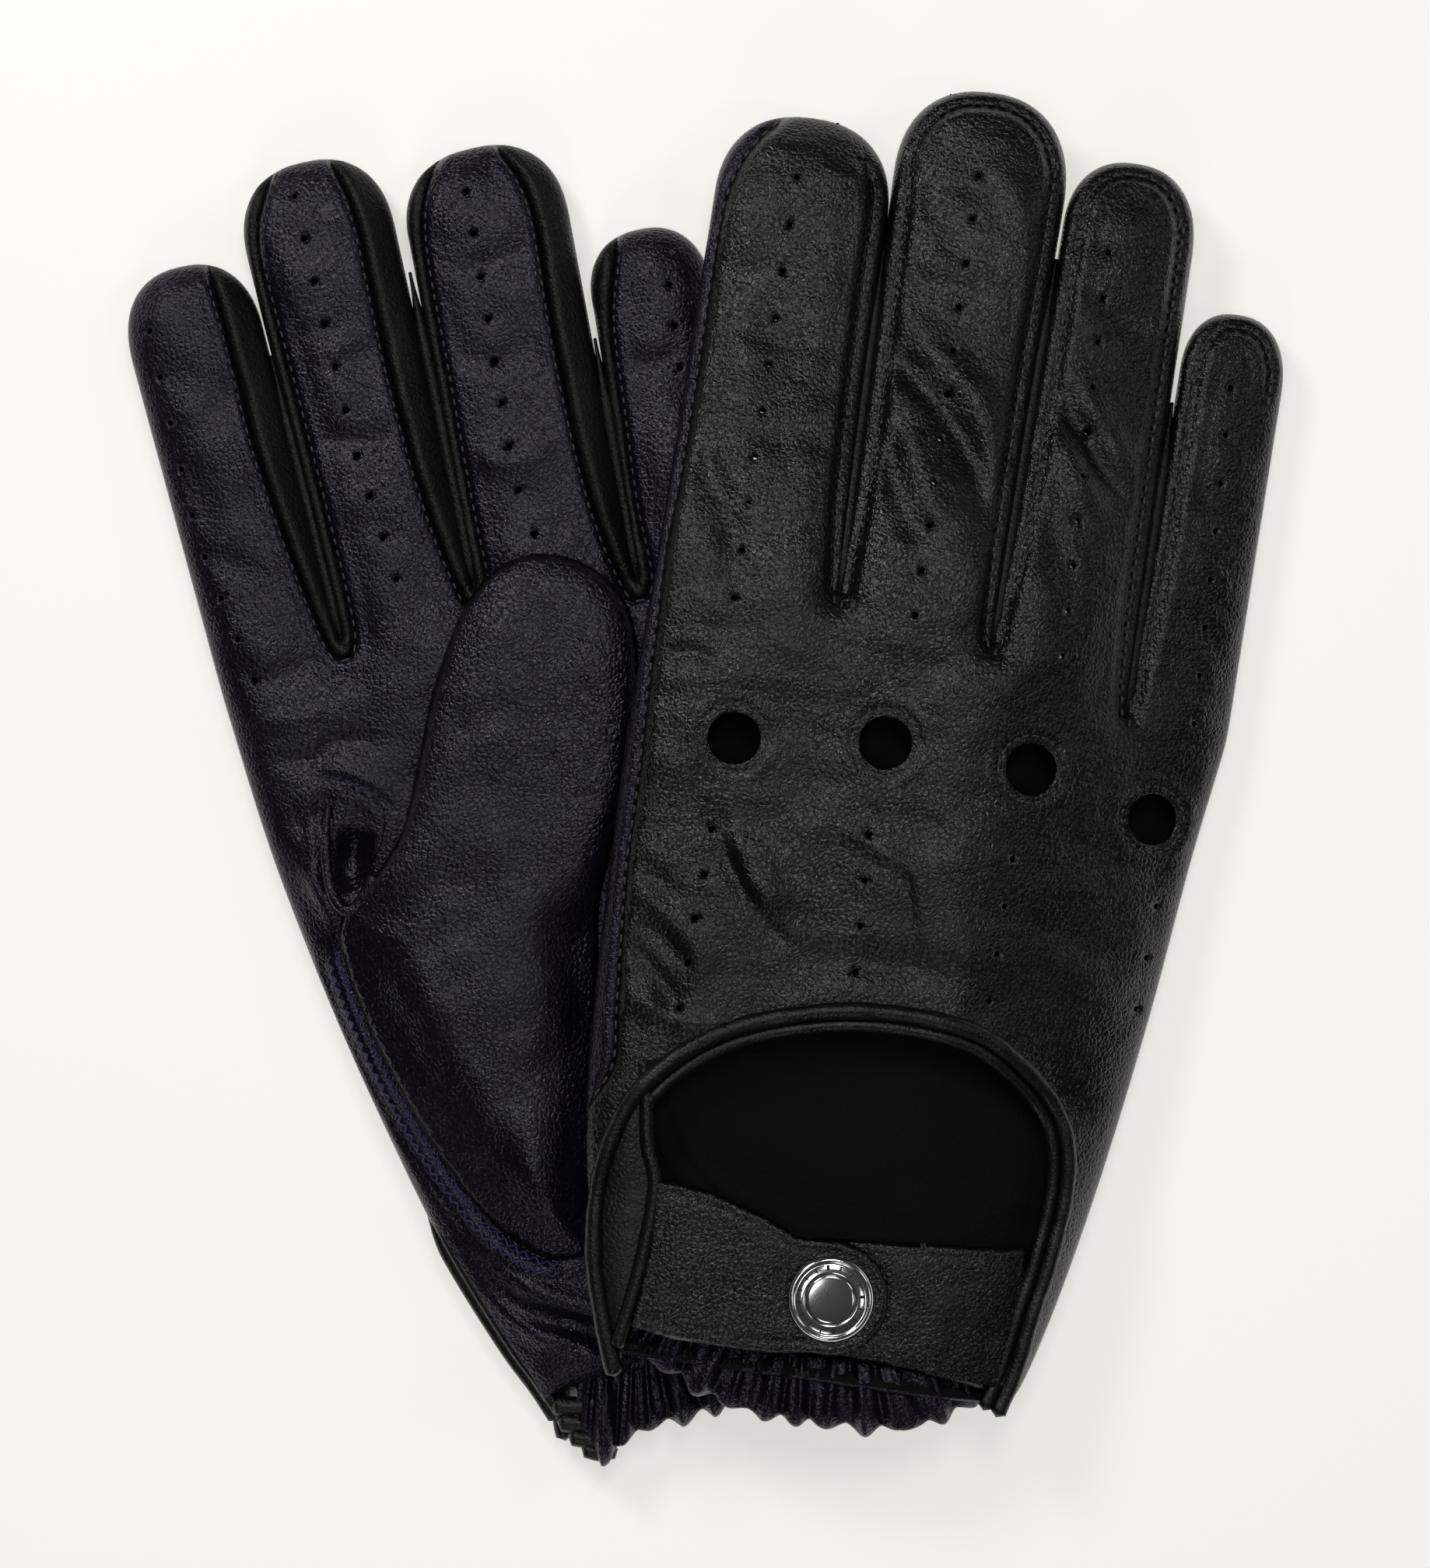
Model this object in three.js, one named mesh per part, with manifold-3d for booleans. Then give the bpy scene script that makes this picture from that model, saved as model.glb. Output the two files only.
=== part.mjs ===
// A pair of unlined leather driving gloves lying on a table, in millimetres, +Z up.
// The left glove lies palm up with its thumb folded across it; the right glove lies on it, back up.
// Each glove is drawn in its own plan frame: u runs across the hand from the index side to the little
// finger side, v runs from the wrist hem towards the fingertips. Depth is measured from the palm's face
// (0) to the back's face (handDepth), whichever way up the glove lies.
import * as THREE from "three";
import { mergeVertices } from "three/addons/utils/BufferGeometryUtils.js";
import Module from "manifold-3d";

const wasm = await Module();
wasm.setup();

// Leather and clearances
const leather = 1.0; // one layer of glove leather
const gap = 0.3; // clearance between sewn pieces
const strapLeather = 1.5; // two layers, turned and sewn
const handWidth = 112; // across the right glove at its knuckles, outside to outside
const gloveLength = 246; // right glove, hem to middle fingertip
const handDepth = 10.5; // palm face to back face of an empty glove
const backCrown = 2.4; // how far the back panel's rim lies below its middle
const palmCrown = 1.2; // how far the palm panel's rim lies above its middle
const crownReach = 8; // distance from the outline over which a panel rises to its middle level
const fingertipPower = 2.35; // superellipse exponent of a fingertip: 2 is round, more is squarer

// Knuckle holes, wrist opening and binding
const holeRadius = 4.9;
const facingWidth = 2.8;
const facingThickness = 0.8;
const bindingRadius = 1.7;
const bindingInset = [4.4, 3.6]; // its middle from the glove's sides, at the hem and above it
const bindingSides = 6;
const bindingSteps = 32;

// Strap and snap fastener
const snapRadius = 7.6; // a 24-line cap
const capHeight = 1.7;
const capRim = 0.5;
const shankRadius = 2.2;
const socketRadius = 5.4;
const socketBore = 3.3;
const socketHeight = 1.9;
const studFlangeRadius = 5.2;
const studFlangeHeight = 0.6;
const studRadius = 2.6;
const eyeletRadius = 4.6;
const eyeletHeight = 0.6;
const eyeletShank = 1.4;
const lathePieces = 20;

// Thumb
const thumbTop = 6.4; // height of the folded thumb above the palm
const thumbCrown = 1.4;
const thumbSeam = 3; // leather left round the thumb hole

// Elastic hem
const hemDepth = 3.6; // thickness of the gathered casing
const elasticWidth = 6;
const elasticThickness = 1.0;

// Grid of the curved sheets that give panels their depth
const gridU = 10;
const gridV = 20;

const tall = 60; // half height of the plan prisms

// Stacking of the two gloves
const snapRise = 2.4; // how far the closed snap stands proud of the back
const thumbPile = 3.3; // free height between the left palm and the right palm, over the folded thumb
const fingerPile = 1.1; // free height between the left little finger and the right index finger
const rightTipRise = 7; // right fingertips' height, where they droop
const rightSlope = [9, 64]; // drawn u between which the right glove slopes down to the table

const smooth = (from, to, x) => THREE.MathUtils.smoothstep(x, from, to);

// Plan places are drawn for a hand 112 wide and a glove 246 long; these carry them to the size set above.
const across = (u) => (u * handWidth) / 112;
const along = (v) => (v * gloveLength) / 246;
const onHand = ([u, v]) => [across(u), along(v)];
const plan = (points) => points.map(onHand);
const reach = { u: [-70, 70].map(across), v: [-20, 246].map(along) }; // plan area of the sheets' grid
const finger = (root, tip, top, cap) => ({
  root: root.map(across),
  tip: tip.map(across),
  top: along(top),
  cap,
});

// The left glove stands on its closed snap at the wrist and lies flat beyond the palm.
const leftBase = (u, v) => snapRise * (1 - smooth(along(45), along(105), v));
// The right glove slopes from the pile at its index side down to the table at its little finger side.
function rightBase(u, v) {
  const onThumb = handDepth + thumbTop + thumbPile;
  const onFinger = handDepth + fingerPile;
  const rise =
    onThumb -
    (onThumb - onFinger) * smooth(along(140), along(195), v) -
    (onFinger - rightTipRise) * smooth(along(200), along(240), v);
  return rise * (1 - smooth(...rightSlope.map(across), u));
}

// A finger: root and tip give its left and right u, then the v of its tip and the length of its rounding.
const gloves = {
  left: {
    palmUp: true,
    base: leftBase,
    place: onHand([-0.3, -112.9]),
    turn: 13,
    fingers: {
      index: finger([-58.6, -35.1], [-60.8, -36.3], 225, 15),
      middle: finger([-33.8, -8.8], [-35.0, -6.6], 238.8, 15),
      ring: finger([-7.6, 21.0], [-5.2, 24.0], 234.3, 15),
      little: finger([22.2, 45.0], [25.4, 47.6], 212.6, 13),
    },
    webs: [150.6, 154.5, 149.1].map(along),
    indexSide: plan([
      [-57.2, 141], [-55.5, 113], [-51.2, 82], [-44.7, 51], [-40.8, 35.5], [-35.3, 19], [-31, 8],
    ]),
    littleSide: plan([[30, 8], [35, 22], [41, 51], [45, 82], [47, 113], [46.5, 141]]),
    hem: plan([[-26, -4], [-14, -6], [0, -6], [14, -5.5], [26, -3]]),
    opening: { centre: onHand([-0.5, 30]), radii: onHand([36, 39]) },
    knuckleShift: onHand([-10, 6]),
  },
  right: {
    palmUp: false,
    base: rightBase,
    place: onHand([23.1, -108.6]),
    turn: -6.8,
    fingers: {
      index: finger([-49.3, -16.4], [-46.8, -15.4], 228.5, 17),
      middle: finger([-15.2, 12.2], [-14.2, 16.6], 237.2, 18),
      ring: finger([13.4, 38.8], [17.8, 41.6], 227.6, 15),
      little: finger([40.0, 59.6], [42.8, 61.8], 202.6, 13),
    },
    webs: [141.4, 136.1, 126.5].map(along),
    indexSide: plan([
      [-50, 126], [-50.5, 108], [-50.5, 88], [-50.5, 66], [-50.2, 48], [-48.4, 30], [-44.4, 16], [-40, 8],
    ]),
    littleSide: plan([[36, 8], [40, 18], [45.4, 41], [51, 71], [55.1, 100.7], [58, 121]]),
    hem: plan([[-30, -4], [-14, -8.6], [0, -9], [15.6, -7.8], [28, -4]]),
    opening: { centre: onHand([-2.6, 30]), radii: onHand([41.6, 39]) },
    knuckleShift: [0, 0],
  },
};

// Places shared by both gloves, in plan
const hemLine = 6; // v where the panels stop and the gathered casing begins
const knuckles = {
  index: onHand([-31.6, 112.9]),
  middle: onHand([-4.4, 115.4]),
  ring: onHand([22.6, 114.3]),
  little: onHand([46.4, 107.8]),
};
const snapPlace = [across(-2.4), 15];
const strapEnd = 10.6;
const strapRootSpan = [5.5, 33];
const strapTopEdge = [[across(-24), 31.5], [across(-12), 27.5]];
const strapBottomEdge = [[across(-12), 4.2]];
const tabReach = [[-9, 4.6], [-9, 25.4]]; // free end of the tab
const tabSide = [[1.4, 3], [14, 3], [27.5, 6.8]]; // v and clearance from the glove's side

// The thumb piece in plan: a fixed heel sewn round the thumb hole, and the tube that folds over the palm.
const thumbHeel = plan([
  [-44.5, 98], [-46.4, 94], [-45.4, 82.6], [-41, 65.3], [-33.7, 45.7], [-17, 28.6], [-11, 40],
]);
const thumbFold = plan([[-44.5, 99], [0.5, 90]]); // the line across which the tube folds, left end first
const thumbAxis = plan([[-22, 94.5], [3.4, 141]]); // middle of the tube at the fold and at the tip's centre
const thumbTipRadius = across(15.4);
const quirkOutline = plan([[-43.4, 124], [-33.5, 116.5], [-39.2, 106.6], [-45, 103.6]]);

const materials = {
  back: new THREE.MeshStandardMaterial({ color: 0x1b1c1c, roughness: 0.46, metalness: 0 }),
  palm: new THREE.MeshStandardMaterial({ color: 0x201d26, roughness: 0.5, metalness: 0 }),
  fourchette: new THREE.MeshStandardMaterial({ color: 0x161814, roughness: 0.52, metalness: 0 }),
  binding: new THREE.MeshStandardMaterial({ color: 0x171817, roughness: 0.42, metalness: 0 }),
  facing: new THREE.MeshStandardMaterial({ color: 0x141513, roughness: 0.8, metalness: 0 }),
  elastic: new THREE.MeshStandardMaterial({ color: 0x101014, roughness: 0.9, metalness: 0 }),
  chrome: new THREE.MeshStandardMaterial({ color: 0xc9cacb, roughness: 0.12, metalness: 1 }),
  steel: new THREE.MeshStandardMaterial({ color: 0x8d8f91, roughness: 0.35, metalness: 1 }),
};

// ---- solids

function solidOf(geometry) {
  geometry.deleteAttribute("normal");
  geometry.deleteAttribute("uv");
  const merged = mergeVertices(geometry, 1e-4);
  const vertProperties = new Float32Array(merged.attributes.position.array);
  const triVerts = new Uint32Array(merged.index.array);
  return new wasm.Manifold(new wasm.Mesh({ numProp: 3, vertProperties, triVerts }));
}

function meshOf(name, solid, material) {
  const { vertProperties, triVerts } = solid.getMesh();
  const geometry = new THREE.BufferGeometry();
  geometry.setAttribute("position", new THREE.BufferAttribute(new Float32Array(vertProperties), 3));
  geometry.setIndex(new THREE.BufferAttribute(triVerts, 1));
  geometry.computeVertexNormals();
  const mesh = new THREE.Mesh(geometry, material);
  mesh.name = name;
  return mesh;
}

// A tall upright prism over a plan outline.
function prism(outline) {
  const shape = new THREE.Shape(outline.map(([u, v]) => new THREE.Vector2(u, v)));
  const geometry = new THREE.ExtrudeGeometry(shape, { depth: 2 * tall, bevelEnabled: false });
  geometry.translate(0, 0, -tall);
  return solidOf(geometry);
}

// The solid between two height functions of (u, v), on a grid over the whole glove.
function sheet(low, high) {
  const cols = Math.round((reach.u[1] - reach.u[0]) / gridU);
  const rows = Math.round((reach.v[1] - reach.v[0]) / gridV);
  const positions = [];
  for (const height of [low, high])
    for (let j = 0; j <= rows; j++)
      for (let i = 0; i <= cols; i++) {
        const u = THREE.MathUtils.lerp(...reach.u, i / cols);
        const v = THREE.MathUtils.lerp(...reach.v, j / rows);
        positions.push(u, v, height(u, v));
      }
  const layer = (cols + 1) * (rows + 1);
  const at = (i, j, top) => j * (cols + 1) + i + (top ? layer : 0);
  const index = [];
  const quad = (a, b, c, d) => index.push(a, b, c, a, c, d);
  for (let j = 0; j < rows; j++)
    for (let i = 0; i < cols; i++) {
      quad(at(i, j, 1), at(i + 1, j, 1), at(i + 1, j + 1, 1), at(i, j + 1, 1));
      quad(at(i, j, 0), at(i, j + 1, 0), at(i + 1, j + 1, 0), at(i + 1, j, 0));
    }
  for (let i = 0; i < cols; i++) {
    quad(at(i, 0, 0), at(i + 1, 0, 0), at(i + 1, 0, 1), at(i, 0, 1));
    quad(at(i + 1, rows, 0), at(i, rows, 0), at(i, rows, 1), at(i + 1, rows, 1));
  }
  for (let j = 0; j < rows; j++) {
    quad(at(0, j + 1, 0), at(0, j, 0), at(0, j, 1), at(0, j + 1, 1));
    quad(at(cols, j, 0), at(cols, j + 1, 0), at(cols, j + 1, 1), at(cols, j, 1));
  }
  const geometry = new THREE.BufferGeometry();
  geometry.setAttribute("position", new THREE.Float32BufferAttribute(positions, 3));
  geometry.setIndex(index);
  return solidOf(geometry);
}

// The height of a depth at (u, v), for a glove that lies palm up or palm down.
function heightOf(glove, depth, u, v) {
  return glove.base(u, v) + (glove.palmUp ? handDepth - depth : depth);
}

// The solid over an outline between two depths, each a number or a function of (u, v).
function piece(glove, outline, from, to) {
  const height = (depth) => (u, v) =>
    heightOf(glove, typeof depth === "number" ? depth : depth(u, v), u, v);
  const [low, high] = glove.palmUp ? [height(to), height(from)] : [height(from), height(to)];
  return prism(outline).intersect(sheet(low, high));
}

// ---- outlines

function spline(points, pieces) {
  const places = points.map(([u, v]) => new THREE.Vector3(u, v, 0));
  const curve = new THREE.CatmullRomCurve3(places, false, "centripetal");
  return curve.getSpacedPoints(pieces).map((p) => [p.x, p.y]);
}

function circle([u, v], radius, pieces = lathePieces) {
  const turns = [...Array(pieces).keys()];
  return turns.map((k) => {
    const angle = (2 * Math.PI * k) / pieces;
    return [u + radius * Math.cos(angle), v + radius * Math.sin(angle)];
  });
}

// A fingertip's rounding from its left shoulder over the tip to its right shoulder.
function fingertip({ tip, top, cap }, inset) {
  const half = (tip[1] - tip[0]) / 2 - inset;
  const middle = (tip[0] + tip[1]) / 2;
  const pieces = 10;
  const points = [];
  for (let k = 0; k <= pieces; k++) {
    const angle = Math.PI * (1 - k / pieces);
    const sideways = Math.sign(Math.cos(angle)) * Math.abs(Math.cos(angle)) ** (2 / fingertipPower);
    const upwards = Math.abs(Math.sin(angle)) ** (2 / fingertipPower);
    points.push([middle + half * sideways, top - cap + (cap - inset) * upwards]);
  }
  return points;
}

// The web between two fingers, a half circle open towards the tips.
function web(left, right, crotch, inset) {
  const middle = (left.root[1] + right.root[0]) / 2;
  const radius = (right.root[0] - left.root[1]) / 2 + inset;
  const pieces = 4;
  const points = [];
  for (let k = 0; k <= pieces; k++) {
    const angle = Math.PI * (1 + k / pieces);
    points.push([middle + radius * Math.cos(angle), crotch + radius * Math.sin(angle)]);
  }
  return points;
}

// The hand's plan outline, inset all round except at the hem, which lies at v = hem.
function handOutline(glove, inset, hem) {
  const { index, middle, ring, little } = glove.fingers;
  const row = [index, middle, ring, little];
  const indexSide = spline([[index.root[0], glove.webs[0]], ...glove.indexSide], 12);
  const littleSide = spline([...glove.littleSide, [little.root[1], glove.webs[2]]], 12);
  const points = [[indexSide.at(-1)[0] + inset, hem], [littleSide[0][0] - inset, hem]];
  points.push(...littleSide.map(([u, v]) => [u - inset, v]));
  for (let k = row.length - 1; k >= 0; k--) {
    points.push(...fingertip(row[k], inset).reverse());
    if (k > 0) points.push(...web(row[k - 1], row[k], glove.webs[k - 1], inset).reverse());
  }
  points.push(...indexSide.map(([u, v]) => [u + inset, v]));
  return points;
}

function distanceTo(outline) {
  const segment = new THREE.Line3();
  const point = new THREE.Vector3();
  const nearest = new THREE.Vector3();
  const ends = outline.map(([u, v]) => new THREE.Vector3(u, v, 0));
  return (u, v) => {
    point.set(u, v, 0);
    let least = Infinity;
    let inside = false;
    ends.forEach((a, k) => {
      const b = ends[(k + 1) % ends.length];
      segment.set(a, b).closestPointToPoint(point, true, nearest);
      least = Math.min(least, nearest.distanceTo(point));
      if (a.y > v !== b.y > v && u < ((b.x - a.x) * (v - a.y)) / (b.y - a.y) + a.x) inside = !inside;
    });
    return inside ? least : 0;
  };
}

// How far a panel's face lies off its middle level, falling from crown at the outline to 0 inside.
function crowning(outline, crown) {
  const distance = distanceTo(outline);
  return (u, v) => crown * (1 - Math.min(distance(u, v) / crownReach, 1)) ** 2;
}

// The plan zone between the middle lines of two neighbouring fingers, from below their web upwards.
function webZone(left, right, crotch, margin) {
  const middleOf = ([a, b]) => 0.54 * a + 0.46 * b;
  const foot = crotch - 7 - margin;
  return [
    [middleOf(left.root) - margin, foot],
    [middleOf(right.root) + margin, foot],
    [middleOf(right.tip) + margin, right.top + 12],
    [middleOf(left.tip) - margin, left.top + 12],
  ];
}

// ---- the pieces of a glove

// The wrist opening in the back panel, an arch that runs out past the hem.
function openingOutline(glove) {
  const [cu, cv] = glove.opening.centre;
  const [ru, rv] = glove.opening.radii;
  const points = [];
  const pieces = 20;
  for (let k = 0; k <= pieces; k++) {
    const angle = (Math.PI * k) / pieces;
    points.push([cu + ru * Math.cos(angle), cv + rv * Math.sin(angle)]);
  }
  return [...points, [cu - 60, cv - 3], [cu - 60, -30], [cu + 60, -30], [cu + 60, cv - 3]];
}

function knucklePlace(glove, finger) {
  const [u, v] = knuckles[finger];
  return [u + glove.knuckleShift[0], v + glove.knuckleShift[1]];
}

function backPanel(glove, outline, drop) {
  const face = (u, v) => handDepth - drop(u, v);
  let panel = piece(glove, outline, (u, v) => face(u, v) - leather, face);
  panel = panel.subtract(prism(openingOutline(glove)));
  for (const finger of Object.keys(knuckles))
    panel = panel.subtract(prism(circle(knucklePlace(glove, finger), holeRadius)));
  return panel;
}

function thumbHole() {
  const [left, right] = thumbFold;
  const corners = [[right[0] - thumbSeam, right[1]], [left[0] + thumbSeam, left[1] + 3]];
  const heel = [...spline(thumbHeel, 12), ...corners];
  const centre = heel.reduce(([a, b], [u, v]) => [a + u / heel.length, b + v / heel.length], [0, 0]);
  return heel.map(([u, v]) => {
    const size = Math.hypot(u - centre[0], v - centre[1]);
    const scale = 1 - thumbSeam / size;
    return [centre[0] + (u - centre[0]) * scale, centre[1] + (v - centre[1]) * scale];
  });
}

// The palm panel turns up round both outer sides of the hand to meet the back panel's rim.
function palmPanel(glove, outline, inner, drop, rise) {
  const face = piece(glove, outline, rise, (u, v) => rise(u, v) + leather);
  let sides = piece(glove, outline, rise, (u, v) => handDepth - leather - gap - drop(u, v));
  sides = sides.subtract(prism(inner));
  const row = Object.values(glove.fingers);
  glove.webs.forEach((crotch, k) => {
    sides = sides.subtract(prism(webZone(row[k], row[k + 1], crotch, gap / 2)));
  });
  return face.add(sides).subtract(prism(thumbHole()));
}

function fourchette(glove, outline, inner, drop, rise, k) {
  const row = Object.values(glove.fingers);
  const wall = piece(
    glove,
    outline,
    (u, v) => rise(u, v) + leather + gap,
    (u, v) => handDepth - leather - gap - drop(u, v),
  ).subtract(prism(inner));
  return wall.intersect(prism(webZone(row[k], row[k + 1], glove.webs[k], -gap / 2)));
}

// The thumb tube's outline above the fold, inset all round except at the fold.
function thumbTube(inset, foldShift = 0) {
  const [left, right] = thumbFold;
  const [, tip] = thumbAxis;
  const radius = thumbTipRadius - inset;
  const pieces = 12;
  const points = [[left[0] + inset, left[1] + foldShift], [right[0] - inset, right[1] + foldShift]];
  const turn = Math.atan2(tip[1] - thumbAxis[0][1], tip[0] - thumbAxis[0][0]) - Math.PI / 2;
  for (let k = 0; k <= pieces; k++) {
    const angle = turn + (Math.PI * k) / pieces;
    points.push([tip[0] + radius * Math.cos(angle), tip[1] + radius * Math.sin(angle)]);
  }
  points.push(...plan([[-23.6, 126], [-34, 109.5]]).map(([u, v]) => [u + inset, v]));
  return points;
}

function heelOutline(inset, foldShift = 0) {
  const [left, right] = thumbFold;
  const side = spline(thumbHeel, 12);
  const centre = onHand([-26, 74]);
  const inward = side.map(([u, v]) => {
    const scale = 1 - inset / Math.hypot(u - centre[0], v - centre[1]);
    return [centre[0] + (u - centre[0]) * scale, centre[1] + (v - centre[1]) * scale];
  });
  return [...inward, [right[0] - inset, right[1] - foldShift], [left[0] + inset, left[1] - foldShift]];
}

// A hollow thumb part over an outline, standing on the palm's face and crowned on its outer side.
function thumbShell(glove, outer, inner, floor) {
  const drop = crowning(outer, thumbCrown);
  const top = (inset) => (u, v) => -gap - thumbTop + inset + drop(u, v);
  const shell = piece(glove, outer, top(0), -gap);
  return shell.subtract(piece(glove, inner, top(leather), floor));
}

function snapSolid(profile) {
  const points = profile.map(([r, z]) => new THREE.Vector2(r, z));
  const geometry = new THREE.LatheGeometry(points, lathePieces);
  geometry.rotateX(Math.PI / 2);
  return solidOf(geometry);
}

function disc(radius, from, to, bore = 0) {
  return [[bore, from], [radius, from], [radius, to], [bore, to], ...(bore ? [[bore, from]] : [])];
}

// Depths of the strap, the tab and the snap's parts, from the back panel's face outwards.
const stack = (() => {
  const tab = gap + hemDepth + gap;
  const tabTop = tab + strapLeather;
  const studTop = tabTop + gap + studFlangeHeight;
  const socket = studTop + gap;
  const strap = socket + socketHeight + gap;
  const cap = strap + strapLeather + gap;
  return { tab, tabTop, studTop, socket, strap, cap, eyelet: tab - gap - eyeletHeight };
})();

function snapParts() {
  const { tab, tabTop, studTop, socket, strap, cap, eyelet } = stack;
  const crown = [[snapRadius, cap], [snapRadius, cap + capRim]];
  for (let k = 1; k <= 5; k++) {
    const share = k / 5;
    crown.push([snapRadius * (1 - share), cap + capRim + (capHeight - capRim) * (1 - (1 - share) ** 2)]);
  }
  const shankFoot = socket + gap + 1.2;
  return {
    snap_cap: [[0, shankFoot], [shankRadius, shankFoot], [shankRadius, cap], ...crown],
    snap_socket: disc(socketRadius, socket, strap - gap, socketBore),
    snap_stud: [
      [0, tab + 0.4],
      [eyeletShank - gap, tab + 0.4],
      [eyeletShank - gap, tabTop + gap],
      ...disc(studFlangeRadius, tabTop + gap, studTop).slice(1, 3),
      [studRadius - 0.5, studTop],
      [studRadius, studTop + 0.5],
      [studRadius - 0.4, studTop + 1.1],
      [0, studTop + 1.1],
    ],
    snap_eyelet: disc(eyeletRadius, eyelet, tab - gap, eyeletShank - 0.6),
  };
}

// The u of a glove's side at v, below the palm.
function sideAt(points, v) {
  const row = [...points].sort((a, b) => a[1] - b[1]);
  const k = Math.min(Math.max(row.findIndex((p) => p[1] >= v), 1), row.length - 1);
  const [a, b] = [row[k - 1], row[k]];
  return a[0] + ((b[0] - a[0]) * (v - a[1])) / (b[1] - a[1]);
}

function strapOutline(glove) {
  const arc = [];
  const pieces = 12;
  for (let k = 0; k <= pieces; k++) {
    const angle = THREE.MathUtils.degToRad(-100 + (200 * k) / pieces);
    arc.push([snapPlace[0] + strapEnd * Math.cos(angle), snapPlace[1] + strapEnd * Math.sin(angle)]);
  }
  const clear = bindingRadius + 5 * gap;
  const path = bindingPlan(glove);
  const root = strapRootSpan.map((v) => [sideAt(path.slice(0, 3), v) + clear, v]);
  return [...arc, ...[...strapTopEdge].reverse(), root[1], root[0], ...strapBottomEdge];
}

// A tab that stands so high that it meets the binding stops short of it.
function tabOutline(glove) {
  const bindingFoot = handDepth - leather / 2 - backCrown - bindingRadius;
  const into = THREE.MathUtils.clamp(stack.tabTop - bindingFoot, 0, bindingRadius);
  const half = Math.sqrt(bindingRadius ** 2 - (bindingRadius - into) ** 2);
  const beside = into > 0 ? bindingInset[0] + half + gap : 0;
  const edge = [[glove.littleSide[0][0] - 3, 0], ...glove.littleSide];
  const side = tabSide.map(([v, clear]) => [sideAt(edge, v) - Math.max(clear, beside), v]);
  return [tabReach[0], ...side, tabReach[1]];
}

// The binding round the opening: up one side of the wrist, over the arch and down the other side.
function bindingPlan(glove) {
  const [cu, cv] = glove.opening.centre;
  const [ru, rv] = glove.opening.radii;
  const offset = bindingRadius + gap + 0.2;
  const indexFoot = glove.indexSide.at(-1);
  const littleFoot = glove.littleSide[0];
  const [foot, above] = bindingInset;
  const points = [[indexFoot[0] + foot, indexFoot[1] - 4], [indexFoot[0] + above, indexFoot[1] + 4]];
  for (let k = 0; k <= 12; k++) {
    const angle = Math.PI * (1 - k / 12);
    points.push([cu + (ru - offset) * Math.cos(angle), cv + (rv - offset) * Math.sin(angle)]);
  }
  points.push([littleFoot[0] - above, littleFoot[1] + 4], [littleFoot[0] - foot, littleFoot[1] - 4]);
  return points;
}

function bindingSolid(glove, drop) {
  const path = bindingPlan(glove).map(([u, v]) => {
    const depth = handDepth - leather / 2 - drop(u, v);
    return new THREE.Vector3(u, v, heightOf(glove, depth, u, v));
  });
  const ring = circle([0, 0], bindingRadius, bindingSides).map(([a, b]) => new THREE.Vector2(a, b));
  const extrudePath = new THREE.CatmullRomCurve3(path, false, "centripetal");
  const geometry = new THREE.ExtrudeGeometry(new THREE.Shape(ring), {
    steps: bindingSteps,
    extrudePath,
    bevelEnabled: false,
  });
  return solidOf(geometry);
}

// The gathered casing: a folded hem that is open on its inner edge, with the elastic lying in it.
function hemCasing(glove) {
  const foot = hemLine - gap;
  const ends = [[glove.indexSide.at(-1)[0] + 2, foot - 3], [glove.littleSide[0][0] - 2, foot - 3]];
  const edge = spline([ends[0], ...glove.hem, ends[1]], 16);
  const outer = [[ends[0][0], foot], ...edge, [ends[1][0], foot]];
  const fold = edge.map(([u, v]) => [u * 1.2, v + 2.4]);
  const inner = [[ends[0][0] - 5, foot + 5], ...fold, [ends[1][0] + 5, foot + 5]];
  const casing = piece(glove, outer, gap, gap + hemDepth);
  return casing.subtract(piece(glove, inner, gap + leather, gap + hemDepth - leather));
}

function hemElastic(glove) {
  const foot = hemLine - gap;
  const half = [glove.indexSide.at(-1)[0] + 5, glove.littleSide[0][0] - 5];
  const depth = gap + leather + (hemDepth - 2 * leather - elasticThickness) / 2;
  const rows = [foot - 0.4, foot - elasticWidth * 0.8];
  const lowEdge = [[half[0] + 14, rows[1]], [half[1] - 14, rows[1]]];
  const strip = [[half[0], rows[1] + 3], ...lowEdge, [half[1], rows[1] + 3]];
  return piece(glove, [...strip, [half[1], rows[0]], [half[0], rows[0]]], depth, depth + elasticThickness);
}

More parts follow.
